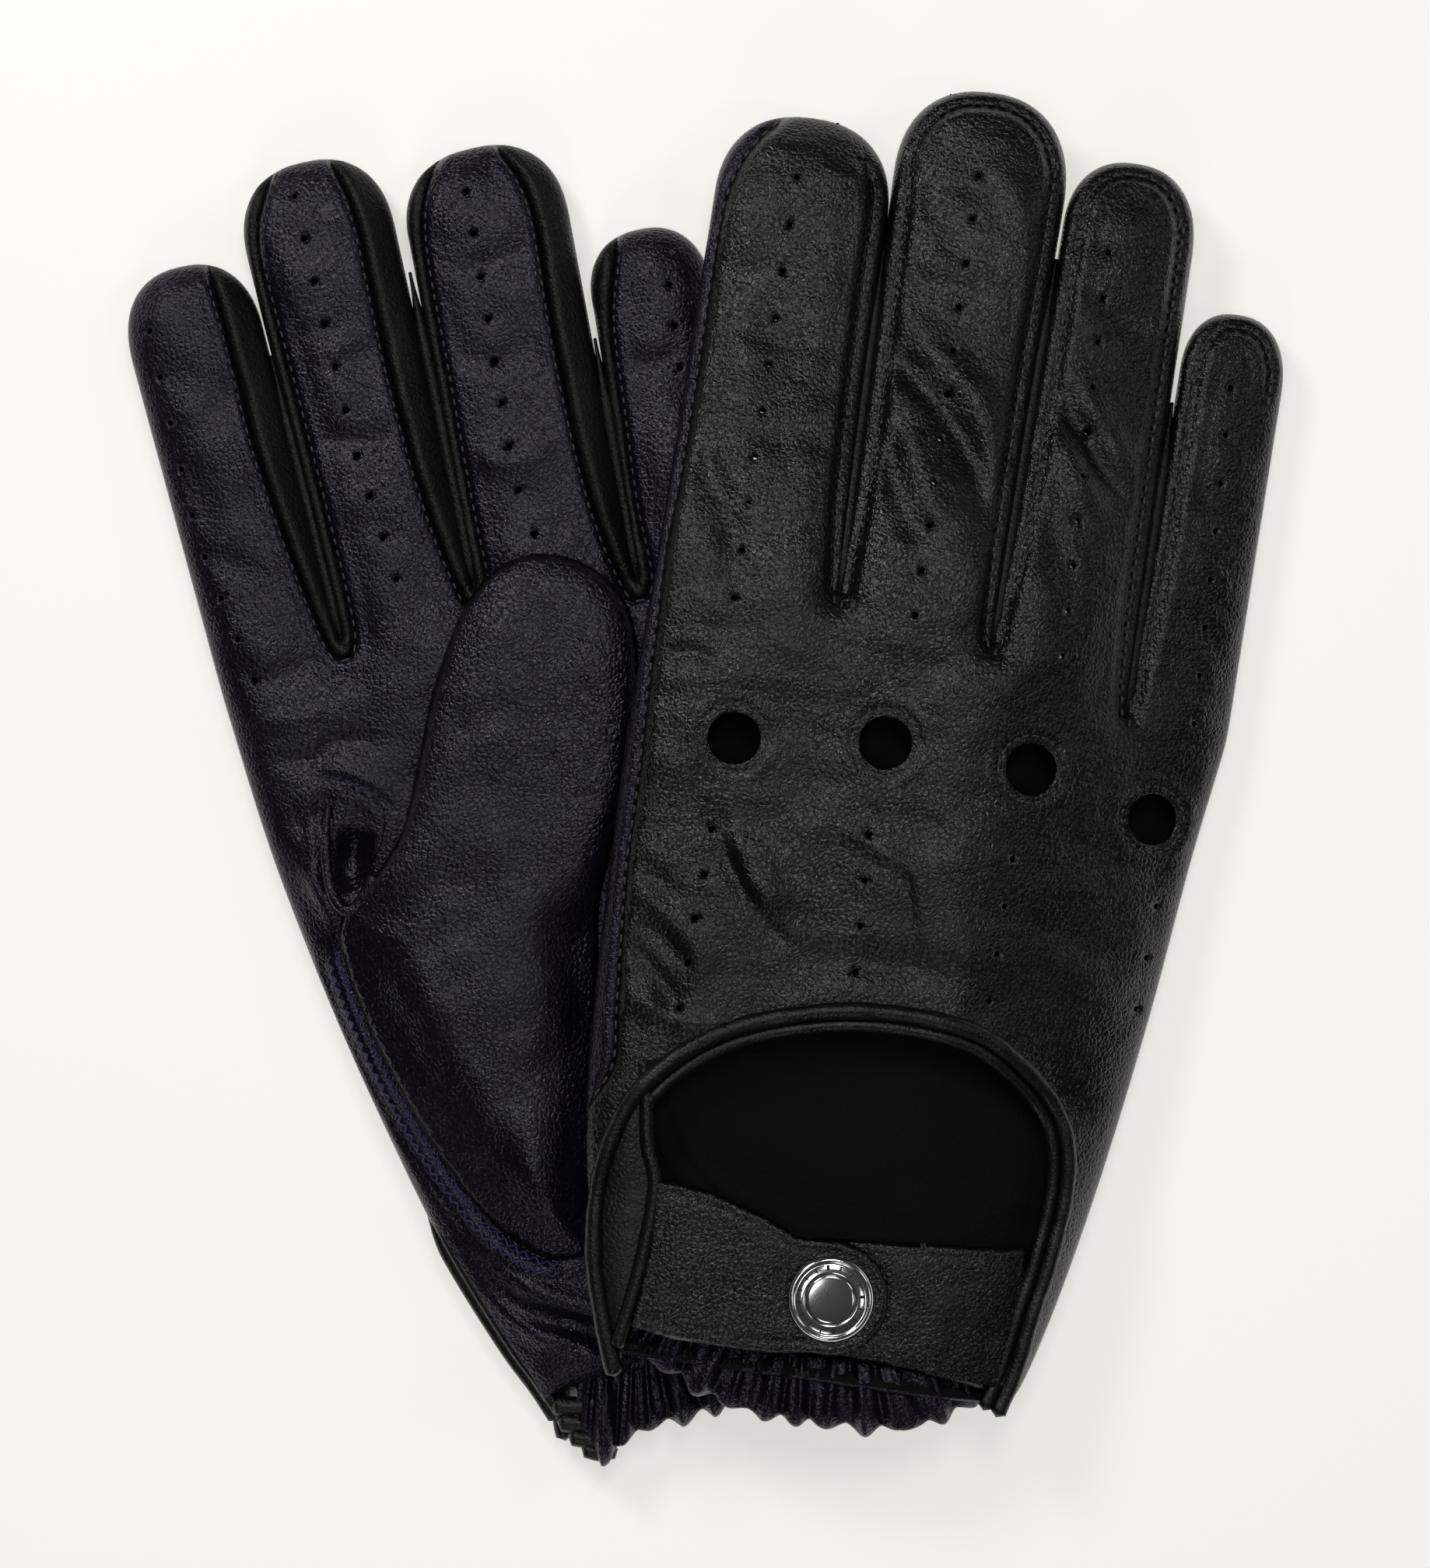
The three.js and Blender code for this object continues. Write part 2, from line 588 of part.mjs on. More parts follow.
function makeGlove(side) {
  const glove = gloves[side];
  const group = new THREE.Group();
  group.position.set(...glove.place, 0);
  group.rotation.z = THREE.MathUtils.degToRad(glove.turn);
  const add = (name, solid, material) => group.add(meshOf(side + "_" + name, solid, material));

  const outline = handOutline(glove, 0, hemLine);
  const inner = handOutline(glove, leather, hemLine - 8);
  const drop = crowning(outline, backCrown);
  const rise = crowning(outline, palmCrown);
  add("back_panel", backPanel(glove, outline, drop), materials.back);
  add("palm_panel", palmPanel(glove, outline, inner, drop, rise), materials.palm);
  ["index_middle", "middle_ring", "ring_little"].forEach((pair, k) =>
    add("fourchette_" + pair, fourchette(glove, outline, inner, drop, rise, k), materials.fourchette),
  );
  for (const finger of Object.keys(knuckles)) {
    const place = knucklePlace(glove, finger);
    const under = (u, v) => handDepth - leather - gap - drop(u, v);
    const lower = (u, v) => under(u, v) - facingThickness;
    const washer = piece(glove, circle(place, holeRadius + facingWidth), lower, under);
    add("knuckle_facing_" + finger, washer.subtract(prism(circle(place, holeRadius))), materials.facing);
  }

  const tubeShift = gap / 2;
  const tube = thumbShell(glove, thumbTube(0, tubeShift), thumbTube(leather, -5), -gap - leather);
  add("thumb", tube, materials.palm);
  const heel = thumbShell(glove, heelOutline(0, tubeShift), heelOutline(leather, -5), 5);
  add("thumb_heel", heel, materials.palm);
  add("thumb_quirk", piece(glove, quirkOutline, -gap - leather, -gap), materials.palm);

  add("opening_binding", bindingSolid(glove, drop), materials.binding);
  add("hem_casing", hemCasing(glove), materials.palm);
  add("hem_elastic", hemElastic(glove), materials.elastic);

  const shankHole = prism(circle(snapPlace, shankRadius + gap, 16));
  const studHole = prism(circle(snapPlace, eyeletShank, 16));
  const strap = piece(glove, strapOutline(glove), stack.strap, stack.strap + strapLeather);
  const tab = piece(glove, tabOutline(glove), stack.tab, stack.tabTop);
  add("strap", strap.subtract(shankHole), materials.back);
  add("strap_tab", tab.subtract(studHole), materials.back);
  for (const [name, profile] of Object.entries(snapParts())) {
    const solid = snapSolid(profile);
    const mesh = meshOf(side + "_" + name, solid, name === "snap_cap" ? materials.chrome : materials.steel);
    const height = glove.base(...snapPlace);
    mesh.position.set(...snapPlace, glove.palmUp ? height + handDepth : height);
    if (glove.palmUp) mesh.rotation.x = Math.PI;
    group.add(mesh);
  }
  return group;
}

const pair = new THREE.Group();
pair.add(makeGlove("left"), makeGlove("right"));

// The frame's origin is on the table, under the middle of the pair.
const box = new THREE.Box3().setFromObject(pair, true);
const centre = box.getCenter(new THREE.Vector3());
pair.position.set(-centre.x, -centre.y, -box.min.z);

export default pair;
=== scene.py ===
"""A pair of leather driving gloves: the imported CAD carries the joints, and the leather is modelled here."""
import math
import bpy
import numpy as np
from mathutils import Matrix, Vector
from mathutils.geometry import delaunay_2d_cdt

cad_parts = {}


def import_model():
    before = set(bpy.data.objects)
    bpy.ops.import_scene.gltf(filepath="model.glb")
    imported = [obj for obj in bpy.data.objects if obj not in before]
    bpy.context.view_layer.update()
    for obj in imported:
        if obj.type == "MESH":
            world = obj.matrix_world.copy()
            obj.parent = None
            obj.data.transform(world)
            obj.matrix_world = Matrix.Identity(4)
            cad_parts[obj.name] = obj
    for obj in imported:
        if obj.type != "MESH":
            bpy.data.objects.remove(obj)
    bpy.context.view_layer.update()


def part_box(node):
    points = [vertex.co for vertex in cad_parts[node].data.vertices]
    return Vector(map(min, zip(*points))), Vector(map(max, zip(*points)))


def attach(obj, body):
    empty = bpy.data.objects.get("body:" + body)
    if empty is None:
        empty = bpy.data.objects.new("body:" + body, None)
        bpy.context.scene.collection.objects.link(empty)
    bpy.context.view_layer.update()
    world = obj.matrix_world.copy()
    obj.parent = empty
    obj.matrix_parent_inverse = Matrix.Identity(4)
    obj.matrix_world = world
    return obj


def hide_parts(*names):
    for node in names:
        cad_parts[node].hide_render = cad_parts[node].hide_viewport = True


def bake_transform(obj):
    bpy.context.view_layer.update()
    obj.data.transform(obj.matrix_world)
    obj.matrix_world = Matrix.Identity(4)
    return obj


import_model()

MID = 5.25          # depth of a glove's middle layer, mm
UP = 5.6            # how far the side facing up rises above it
DOWN = 4.9          # how far the side facing down hangs below it
EDGE = 11.0         # reach of the rounding at the outline
STEP = 1.0          # spacing of a leather mesh, mm
SKIN = 0.9          # leather thickness
HOLE = 4.9          # radius of a knuckle hole
RING = 6.1          # radius of the stitches round a knuckle hole
PERFORATION = 0.56  # radius of a ventilation hole
SEAM_INSET = 3.1    # distance of the finger seams from the outline


# ---------------------------------------------------------------- numbers of the two gloves, mm
GLOVES = {
    "left": dict(
        palm_up=True, place=(-0.3, -112.9), turn=13.0,
        fingers=[((-58.6, -34.5), (-60.8, -35.64), 225.0, 15.0),
                 ((-34.4, -8.2), (-35.56, -7.5), 238.8, 15.0), ((-8.1, 21.6), (-5.6, 24.6), 234.3, 15.0),
                 ((21.7, 45.0), (25.0, 47.6), 212.6, 13.0)],
        webs=(150.6, 154.5, 149.1),
        index_side=[(-58.1, 141), (-55.9, 113), (-51.2, 82), (-44.7, 51), (-40.8, 35.5), (-35.3, 19),
                    (-31, 8)],
        little_side=[(30, 8), (35, 22), (41, 51), (45, 82), (47, 113), (46.5, 141)],
        foot=(-29.5, 4, 28.5, 4), knuckles=[(-41.6, 118.9), (-14.4, 121.4), (12.6, 120.3), (36.4, 113.8)]),
    "right": dict(
        palm_up=False, place=(23.1, -108.6), turn=-6.8,
        fingers=[((-49.4, -15.85), (-47.0, -14.85), 228.5, 17.0),
                 ((-15.75, 12.8), (-14.75, 17.15), 237.2, 18.0),
                 ((12.9, 39.4), (17.25, 42.15), 227.6, 15.0), ((39.5, 59.6), (42.25, 62.0), 202.6, 13.0)],
        webs=(141.4, 136.1, 126.5),
        index_side=[(-50.2, 128), (-51.0, 108), (-51.2, 88), (-51.2, 66), (-50.6, 48), (-48.6, 30),
                    (-45.0, 14), (-42, 5)],
        little_side=[(35, 2), (40, 18), (45.4, 41), (51, 71), (55.4, 100.7), (59.0, 121)],
        foot=(-41, 0, 32, -2), knuckles=[(-31.6, 113.2), (-4.4, 115.6), (22.5, 114.0), (46.6, 107.6)]),
}
SNAP = (-2.4, 15.0)


def smooth(a, b, x):
    t = np.clip((np.asarray(x, float) - a) / (b - a), 0, 1)
    return t * t * (3 - 2 * t)


def base_height(side, u, v):
    if side == "left":
        return 2.4 * (1 - smooth(45, 105, v))
    rise = 20.2 - 8.6 * smooth(140, 195, v) - 4.6 * smooth(200, 240, v)
    return rise * (1 - smooth(9, 64, u))


# ---------------------------------------------------------------- plan geometry
def resample(P, step, closed=False):
    P = np.asarray(P, float)
    if closed:
        P = np.vstack([P, P[:1]])
    L = np.r_[0, np.cumsum(np.hypot(*np.diff(P, axis=0).T))]
    n = max(int(round(L[-1] / step)), 2)
    s = np.linspace(0, L[-1], n + 1)
    out = np.c_[np.interp(s, L, P[:, 0]), np.interp(s, L, P[:, 1])]
    return out[:-1] if closed else out


def spline(P, step=1.0, closed=False):
    P = np.asarray(P, float)
    n = len(P)
    k = np.arange(n if closed else n - 1)
    if closed:
        a, b, c, d = P[(k - 1) % n], P[k], P[(k + 1) % n], P[(k + 2) % n]
    else:
        Q = np.vstack([2 * P[0] - P[1], P, 2 * P[-1] - P[-2]])
        a, b, c, d = Q[k], Q[k + 1], Q[k + 2], Q[k + 3]
    t = np.linspace(0, 1, 16, endpoint=False)[:, None, None]
    pts = 0.5 * (2 * b + (c - a) * t + (2 * a - 5 * b + 4 * c - d) * t ** 2
                 + (3 * b - a - 3 * c + d) * t ** 3)
    pts = pts.transpose(1, 0, 2).reshape(-1, P.shape[1])
    if not closed:
        pts = np.vstack([pts, P[-1]])
    if P.shape[1] == 2:
        return resample(pts, step, closed)
    return pts


def fingertip(f, inset, pieces=26):
    tip, top, cap = f[1:]
    half = (tip[1] - tip[0]) / 2 - inset
    mid = (tip[0] + tip[1]) / 2
    a = np.pi * (1 - np.arange(pieces + 1) / pieces)
    p = 2 / 2.35
    return np.c_[mid + half * np.sign(np.cos(a)) * np.abs(np.cos(a)) ** p,
                 top - cap + (cap - inset) * np.abs(np.sin(a)) ** p]


def web(fa, fb, crotch, inset):
    mid = (fa[0][1] + fb[0][0]) / 2
    r = (fb[0][0] - fa[0][1]) / 2 + inset
    a = np.pi * (1 + np.arange(9) / 8)
    return np.c_[mid + r * np.cos(a), crotch + r * np.sin(a)]


def hand_outline(g, inset=0.0, step=1.0):
    """The hand's outline, anticlockwise, inset all round."""
    F = g["fingers"]
    ix = spline([(F[0][0][0], g["webs"][0])] + g["index_side"] + [g["foot"][:2]], 1.5)
    lt = spline([g["foot"][2:]] + g["little_side"] + [(F[3][0][1], g["webs"][2])], 1.5)
    pts = [lt + (-inset, 0)]
    for k in (3, 2, 1, 0):
        pts.append(fingertip(F[k], inset)[::-1])
        if k:
            pts.append(web(F[k - 1], F[k], g["webs"][k - 1], inset)[::-1])
    pts.append(ix + (inset, 0))
    return resample(np.vstack(pts), step, True)


def dist(P, L, closed=False):
    """Distance to a polyline, the arc length at the nearest point, and the side (left positive)."""
    P, L = np.asarray(P, float), np.asarray(L, float)
    A = L if closed else L[:-1]
    B = np.roll(L, -1, 0) if closed else L[1:]
    d = B - A
    l2 = np.maximum((d ** 2).sum(1), 1e-12)
    s0 = np.r_[0, np.cumsum(np.sqrt(l2))][:-1]
    D, S, G = np.empty(len(P)), np.empty(len(P)), np.empty(len(P))
    for i in range(0, len(P), 3000):
        p = P[i:i + 3000, None, :] - A[None]
        t = np.clip((p * d).sum(2) / l2, 0, 1)
        q = p - t[:, :, None] * d
        e = (q ** 2).sum(2)
        j = e.argmin(1)
        r = np.arange(len(j))
        D[i:i + 3000] = np.sqrt(e[r, j])
        S[i:i + 3000] = s0[j] + t[r, j] * np.sqrt(l2[j])
        G[i:i + 3000] = np.sign(d[j, 0] * p[r, j, 1] - d[j, 1] * p[r, j, 0])
    return D, S, G


def around(P, L, reach):
    """Which points lie in a polyline's bounding box, grown by reach."""
    return ((P > L.min(0) - reach) & (P < L.max(0) + reach)).all(1)


def inside(P, L):
    P, L = np.asarray(P, float), np.asarray(L, float)
    A, B = L, np.roll(L, -1, 0)
    out = np.zeros(len(P), bool)
    for i in range(0, len(P), 4000):
        x, y = P[i:i + 4000, 0][:, None], P[i:i + 4000, 1][:, None]
        up = (A[:, 1] > y) != (B[:, 1] > y)
        dy = np.where(B[:, 1] == A[:, 1], 1e-9, B[:, 1] - A[:, 1])
        out[i:i + 4000] = (up & (x < (B[:, 0] - A[:, 0]) * (y - A[:, 1]) / dy + A[:, 0])).sum(1) % 2 == 1
    return out


def noise(P, scale, seed):
    """Smooth gradient noise in the plane, about -1 to 1."""
    rng = np.random.RandomState(seed)
    ang = rng.rand(64, 64) * 2 * np.pi
    q = np.asarray(P, float) / scale + 200
    i = np.floor(q).astype(int)
    f = q - i
    w = f * f * f * (f * (f * 6 - 15) + 10)
    val = 0
    for dx in (0, 1):
        for dy in (0, 1):
            a = ang[(i[:, 0] + dx) % 64, (i[:, 1] + dy) % 64]
            g = np.cos(a) * (f[:, 0] - dx) + np.sin(a) * (f[:, 1] - dy)
            val = val + g * (w[:, 0] if dx else 1 - w[:, 0]) * (w[:, 1] if dy else 1 - w[:, 1])
    return val * 1.5


def circle(c, r, n=None):
    n = n or max(int(2 * np.pi * r / 0.6), 10)
    a = 2 * np.pi * np.arange(n) / n
    return np.c_[c[0] + r * np.cos(a), c[1] + r * np.sin(a)]


def triangulate(outer, holes=(), cuts=(), rings=(), step=STEP):
    """A constrained triangle mesh of the outline less its holes."""
    pts, edges = [], []

    def put(L, closed):
        n0, n = len(pts), len(L)
        pts.extend(L.tolist())
        edges.extend((n0 + k, n0 + (k + 1) % n) for k in range(n if closed else n - 1))

    put(outer, True)
    for h in holes:
        put(h, True)
    for c in cuts:
        put(c, False)
    lines = [(outer, True)] + [(h, True) for h in holes] + [(c, False) for c in cuts]
    lo, hi = outer.min(0), outer.max(0)
    rows = np.arange(lo[1], hi[1], step * 0.87)
    grid = np.vstack([np.c_[np.arange(lo[0] + (k % 2) * step / 2, hi[0], step), np.full(
        len(np.arange(lo[0] + (k % 2) * step / 2, hi[0], step)), y)] for k, y in enumerate(rows)])
    grid = grid[inside(grid, outer)]
    far = dist(grid, outer, True)[0] > (1.9 if len(rings) else 0.6 * step)
    grid = grid[far]
    for L, closed in lines[1:]:
        near = (grid[:, 0] > L[:, 0].min() - 2) & (grid[:, 0] < L[:, 0].max() + 2)
        near &= (grid[:, 1] > L[:, 1].min() - 2) & (grid[:, 1] < L[:, 1].max() + 2)
        keep = np.ones(len(grid), bool)
        keep[near] = dist(grid[near], L, closed)[0] > 0.5 * step
        grid = grid[keep]
    for r in rings:
        r = r[inside(r, outer)]
        for L, closed in lines[1:]:
            r = r[dist(r, L, closed)[0] > 0.3]
        grid = np.vstack([grid, r])
    pts.extend(grid.tolist())
    res = delaunay_2d_cdt([Vector(p) for p in pts], edges, [], 0, 1e-5)
    V = np.array([tuple(v) for v in res[0]])
    T = np.array([f for f in res[2] if len(f) == 3])
    C = V[T].mean(1)
    keep = inside(C, outer)
    for h in holes:
        keep &= ~inside(C, h)
    T = T[keep]
    a, b, c = V[T[:, 0]], V[T[:, 1]], V[T[:, 2]]
    area = (b[:, 0] - a[:, 0]) * (c[:, 1] - a[:, 1]) - (b[:, 1] - a[:, 1]) * (c[:, 0] - a[:, 0])
    T = np.where(area[:, None] < 0, T[:, ::-1], T)
    return V, T[np.abs(area) > 1e-7]


# ---------------------------------------------------------------- from a glove's plan to the row frame
def offsets():
    lo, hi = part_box("right_snap_cap")
    t = math.radians(GLOVES["right"]["turn"])
    x, y = GLOVES["right"]["place"]
    sx = x + SNAP[0] * math.cos(t) - SNAP[1] * math.sin(t)
    sy = y + SNAP[0] * math.sin(t) + SNAP[1] * math.cos(t)
    return (lo[0] + hi[0]) * 500 - sx, (lo[1] + hi[1]) * 500 - sy


OFF = offsets()


def world(side, uv, z):
    """Plan points and heights in mm to metres in the row frame."""
    g = GLOVES[side]
    t = math.radians(g["turn"])
    uv = np.asarray(uv, float)
    x = g["place"][0] + uv[..., 0] * math.cos(t) - uv[..., 1] * math.sin(t) + OFF[0]
    y = g["place"][1] + uv[..., 0] * math.sin(t) + uv[..., 1] * math.cos(t) + OFF[1]
    return np.stack([x, y, np.broadcast_to(z, x.shape)], -1) / 1000


def make(name, V, F, mats, body, face_mat=None, smooth_shade=True, slot=None):
    me = bpy.data.meshes.new(name)
    me.from_pydata(np.asarray(V).tolist(), [], [list(map(int, f)) for f in F])
    for m in mats:
        me.materials.append(m)
    if face_mat is not None:
        me.polygons.foreach_set("material_index", np.asarray(face_mat, np.int32))
    me.polygons.foreach_set("use_smooth", [smooth_shade] * len(me.polygons))
    me.update()
    ob = bpy.data.objects.new(name, me)
    bpy.context.scene.collection.objects.link(ob)
    if body:
        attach(ob, body)
    return ob


def vertex_normals(V, T):
    n = np.cross(V[T[:, 1]] - V[T[:, 0]], V[T[:, 2]] - V[T[:, 0]])
    N = np.zeros_like(V)
    for k in range(3):
        np.add.at(N, T[:, k], n)
    return N / np.maximum(np.linalg.norm(N, axis=1), 1e-12)[:, None]


def boundary(T):
    e = np.vstack([T[:, [0, 1]], T[:, [1, 2]], T[:, [2, 0]]])
    key = {}
    for a, b in e:
        key[(a, b)] = 1
    return [(a, b) for a, b in e if (b, a) not in key]


def thick(V, T, N, t):
    """A sheet with its inner face, t metres in from the outer one, and its rim."""
    used = np.unique(T)
    m = -np.ones(len(V), int)
    m[used] = np.arange(len(used))
    T = m[T]
    Vo = V[used]
    Vi = Vo - N[used] * t
    n = len(used)
    rim = boundary(T)
    F = T.tolist() + (T[:, ::-1] + n).tolist() + [(b, a, a + n, b + n) for a, b in rim]
    mat = [0] * len(T) + [1] * len(T) + [0] * len(rim)
    return np.vstack([Vo, Vi]), F, mat


def two_faces(T, n):
    """The faces of a sheet of n points and of its other side, n points further on, joined at the rim."""
    m = np.arange(n) + n
    for k in {int(a) for e in boundary(T) for a in e}:
        m[k] = k
    return T.tolist() + [[int(m[c]), int(m[b]), int(m[a])] for a, b, c in T]


def used_only(X, F):
    """A mesh without the points that none of its faces uses."""
    F = np.array(F)
    used = np.unique(F)
    index = -np.ones(len(X), int)
    index[used] = np.arange(len(used))
    return X[used], index[F]


# ---------------------------------------------------------------- materials
def leather(name, color, rough=0.42, grain=1.0, spec=0.5, sheen=0.0, tint=(1.0, 1.0, 1.0)):
    m = bpy.data.materials.new(name)
    m.use_nodes = True
    nt = m.node_tree
    N, L = nt.nodes, nt.links
    b = N["Principled BSDF"]
    b.inputs["Specular IOR Level"].default_value = spec
    b.inputs["Specular Tint"].default_value = (*tint, 1)
    b.inputs["Sheen Weight"].default_value = sheen
    b.inputs["Sheen Roughness"].default_value = 0.4
    co = N.new("ShaderNodeTexCoord")
    mp = N.new("ShaderNodeMapping")
    mp.inputs["Scale"].default_value = (1000, 1000, 1000)
    L.new(co.outputs["Object"], mp.inputs["Vector"])

    def tex(kind, scale, **kw):
        n = N.new(kind)
        n.inputs["Scale"].default_value = scale
        for k, v in kw.items():
            if k in n.inputs:
                n.inputs[k].default_value = v
            else:
                setattr(n, k, v)
        L.new(mp.outputs[0], n.inputs["Vector"])
        return n

    def math_node(op, a, bb):
        n = N.new("ShaderNodeMath")
        n.operation = op
        for k, x in enumerate((a, bb)):
            if isinstance(x, (int, float)):
                n.inputs[k].default_value = x
            else:
                L.new(x, n.inputs[k])
        return n.outputs[0]

    cell = tex("ShaderNodeTexVoronoi", 0.95, feature="DISTANCE_TO_EDGE", Randomness=1.0)
    cell2 = tex("ShaderNodeTexVoronoi", 2.1, feature="DISTANCE_TO_EDGE", Randomness=1.0)
    fine = tex("ShaderNodeTexNoise", 2.6, Detail=3.0, Roughness=0.6)
    broad = tex("ShaderNodeTexNoise", 0.045, Detail=3.0, Roughness=0.55)
    crease = tex("ShaderNodeTexNoise", 0.28, Detail=4.0, Roughness=0.62, Distortion=0.9)
    e1 = math_node("MINIMUM", math_node("MULTIPLY", cell.outputs["Distance"], 3.4), 1.0)
    e2 = math_node("MINIMUM", math_node("MULTIPLY", cell2.outputs["Distance"], 3.0), 1.0)
    h = math_node("ADD", math_node("MULTIPLY", e1, 0.62), math_node("MULTIPLY", e2, 0.18))
    h = math_node("ADD", h, math_node("MULTIPLY", fine.outputs[0], 0.10))
    h = math_node("ADD", h, math_node("MULTIPLY", crease.outputs[0], 1.7))
    bump = N.new("ShaderNodeBump")
    bump.inputs["Strength"].default_value = min(1.0, 0.95 * grain)
    bump.inputs["Distance"].default_value = 0.00014
    L.new(h, bump.inputs["Height"])
    L.new(bump.outputs[0], b.inputs["Normal"])
    ramp = N.new("ShaderNodeMapRange")
    ramp.inputs["From Min"].default_value = 0.3
    ramp.inputs["From Max"].default_value = 0.7
    ramp.inputs["To Min"].default_value = rough - 0.05
    ramp.inputs["To Max"].default_value = rough + 0.09
    L.new(broad.outputs[0], ramp.inputs["Value"])
    L.new(ramp.outputs[0], b.inputs["Roughness"])
    mix = N.new("ShaderNodeMix")
    mix.data_type = "RGBA"
    mix.inputs["A"].default_value = (*[c * 0.72 for c in color], 1)
    mix.inputs["B"].default_value = (*[c * 1.25 for c in color], 1)
    L.new(math_node("ADD", math_node("MULTIPLY", broad.outputs[0], 0.8), math_node("MULTIPLY", e1, 0.2)),
          mix.inputs["Factor"])
    L.new(mix.outputs["Result"], b.inputs["Base Color"])
    return m


def plain(name, color, rough=0.5, metal=0.0):
    m = bpy.data.materials.new(name)
    m.use_nodes = True
    b = m.node_tree.nodes["Principled BSDF"]
    b.inputs["Base Color"].default_value = (*color, 1)
    b.inputs["Roughness"].default_value = rough
    b.inputs["Metallic"].default_value = metal
    return m


M = {
    "back": leather("back_leather", (0.0034, 0.0035, 0.0033), 0.25, 0.9, 0.5),
    "palm": leather("palm_leather", (0.0042, 0.0030, 0.0080), 0.26, 0.9, 0.5, 0.0, (0.86, 0.79, 1.0)),
    "side": leather("sidewall_leather", (0.0045, 0.0048, 0.0036), 0.42, 0.7, 0.3),
    "binding": leather("binding_leather", (0.0040, 0.0042, 0.0040), 0.34, 0.5, 0.42),
    "inside": leather("flesh_side", (0.0070, 0.0078, 0.0064), 0.85, 1.2, 0.12, 0.10),
    "thread": plain("black_thread", (0.055, 0.055, 0.055), 0.42),
    "navy": plain("navy_thread", (0.030, 0.028, 0.11), 0.55),
    "chrome": plain("polished_chrome", (0.78, 0.79, 0.8), 0.14, 1.0),
    "elastic": plain("elastic_webbing", (0.02, 0.02, 0.02), 0.8),
    "dark": plain("tick_enamel", (0.02, 0.02, 0.02), 0.3),
    "steel": plain("nickel", (0.45, 0.46, 0.47), 0.3, 1.0),
}


# ---------------------------------------------------------------- skins
class Skin:
    """One side of a glove: its outline, its seams and its height above the glove's middle layer."""

    def __init__(self, side, face):
        self.side, self.face = side, face
        self.g = GLOVES[side]
        self.up = self.g["palm_up"] == (face == "palm")
        self.outline = hand_outline(self.g)
        self.amp = UP if self.up else DOWN
        self.grooves = []     # (polyline, width, depth, roll)
        self.strokes = []     # (polyline, width, height, kind)
        self.clip = []        # regions without stitches

    def height(self, P):
        P = np.asarray(P, float)
        D = dist(P, self.outline, True)[0] * np.where(inside(P, self.outline), 1, -1)
        D = np.maximum(D, 0)
        t = np.clip(D / EDGE, 0, 1)
        h = self.amp * np.sqrt(1 - (1 - t) ** 2)
        soft = smooth(1.5, 7, D)
        h += soft * (0.80 * noise(P, 34, 5) + 0.66 * noise(P, 15, 9) + 0.24 * noise(P, 6.5, 11))
        if self.face == "back":
            h += soft * 0.24 * noise(P * (0.45, 1.6), 7, 21)
        for L, w, depth, roll in self.grooves:
            m = around(P, L, 6 * w + 1)
            d, s, sg = dist(P[m], L)
            n = np.hypot(*np.diff(L, axis=0).T).sum()
            fade = smooth(0, 5, s) * smooth(0, 5, n - s) if np.hypot(*(L[0] - L[-1])) > 1 else 1.0
            h[m] -= depth * fade * np.exp(-(d / w) ** 2)
            h[m] += roll * fade * np.exp(-((d - 2.1 * w - 0.5) / (1.5 * w)) ** 2)
        for L, w, a, kind in self.strokes:
            m = around(P, L, 4 * w)
            d, s, sg = dist(P[m], L)
            n = np.hypot(*np.diff(L, axis=0).T).sum()
            fade = np.sin(np.pi * np.clip(s / n, 0.02, 0.98)) ** 0.7
            if kind == "step":
                h[m] += soft[m] * a * fade * sg * (d / w) * np.exp(0.5 - (d / w) ** 2 / 2)
            else:
                h[m] += soft[m] * 2.1 * a * fade * np.exp(-(d / w) ** 2)
        return np.maximum(h, 0)

    def z(self, P, lift=0.0):
        h = self.height(P) + lift
        return base_height(self.side, P[:, 0], P[:, 1]) + MID + (h if self.up else -h)

    def lift(self, P, lift=0.0):
        return world(self.side, P, self.z(np.asarray(P, float), lift))


def finger_seam(g, k, inset, lo=0.0, hi=1.0):
    """The seam line round a finger, from its left root over the tip to its right root."""
    root, tip = g["fingers"][k][:2]
    wl = g["webs"][max(k - 1, 0)]
    wr = g["webs"][min(k, 2)]
    pts = [(root[0] + 0.9, wl - 3.0), (root[0] + 1.9, wl + 6)]
    pts += [(root[0] + inset + (tip[0] - root[0]) * 0.35, wl + 26)]
    pts += fingertip(g["fingers"][k], inset, 14).tolist()
    pts += [(root[1] - inset + (tip[1] - root[1]) * 0.35, wr + 26)]
    pts += [(root[1] - 1.9, wr + 6), (root[1] - 0.9, wr - 3.0)]
    L = spline(pts, 0.8)
    n = len(L)
    return L[int(lo * n):max(int(hi * n), 2)]


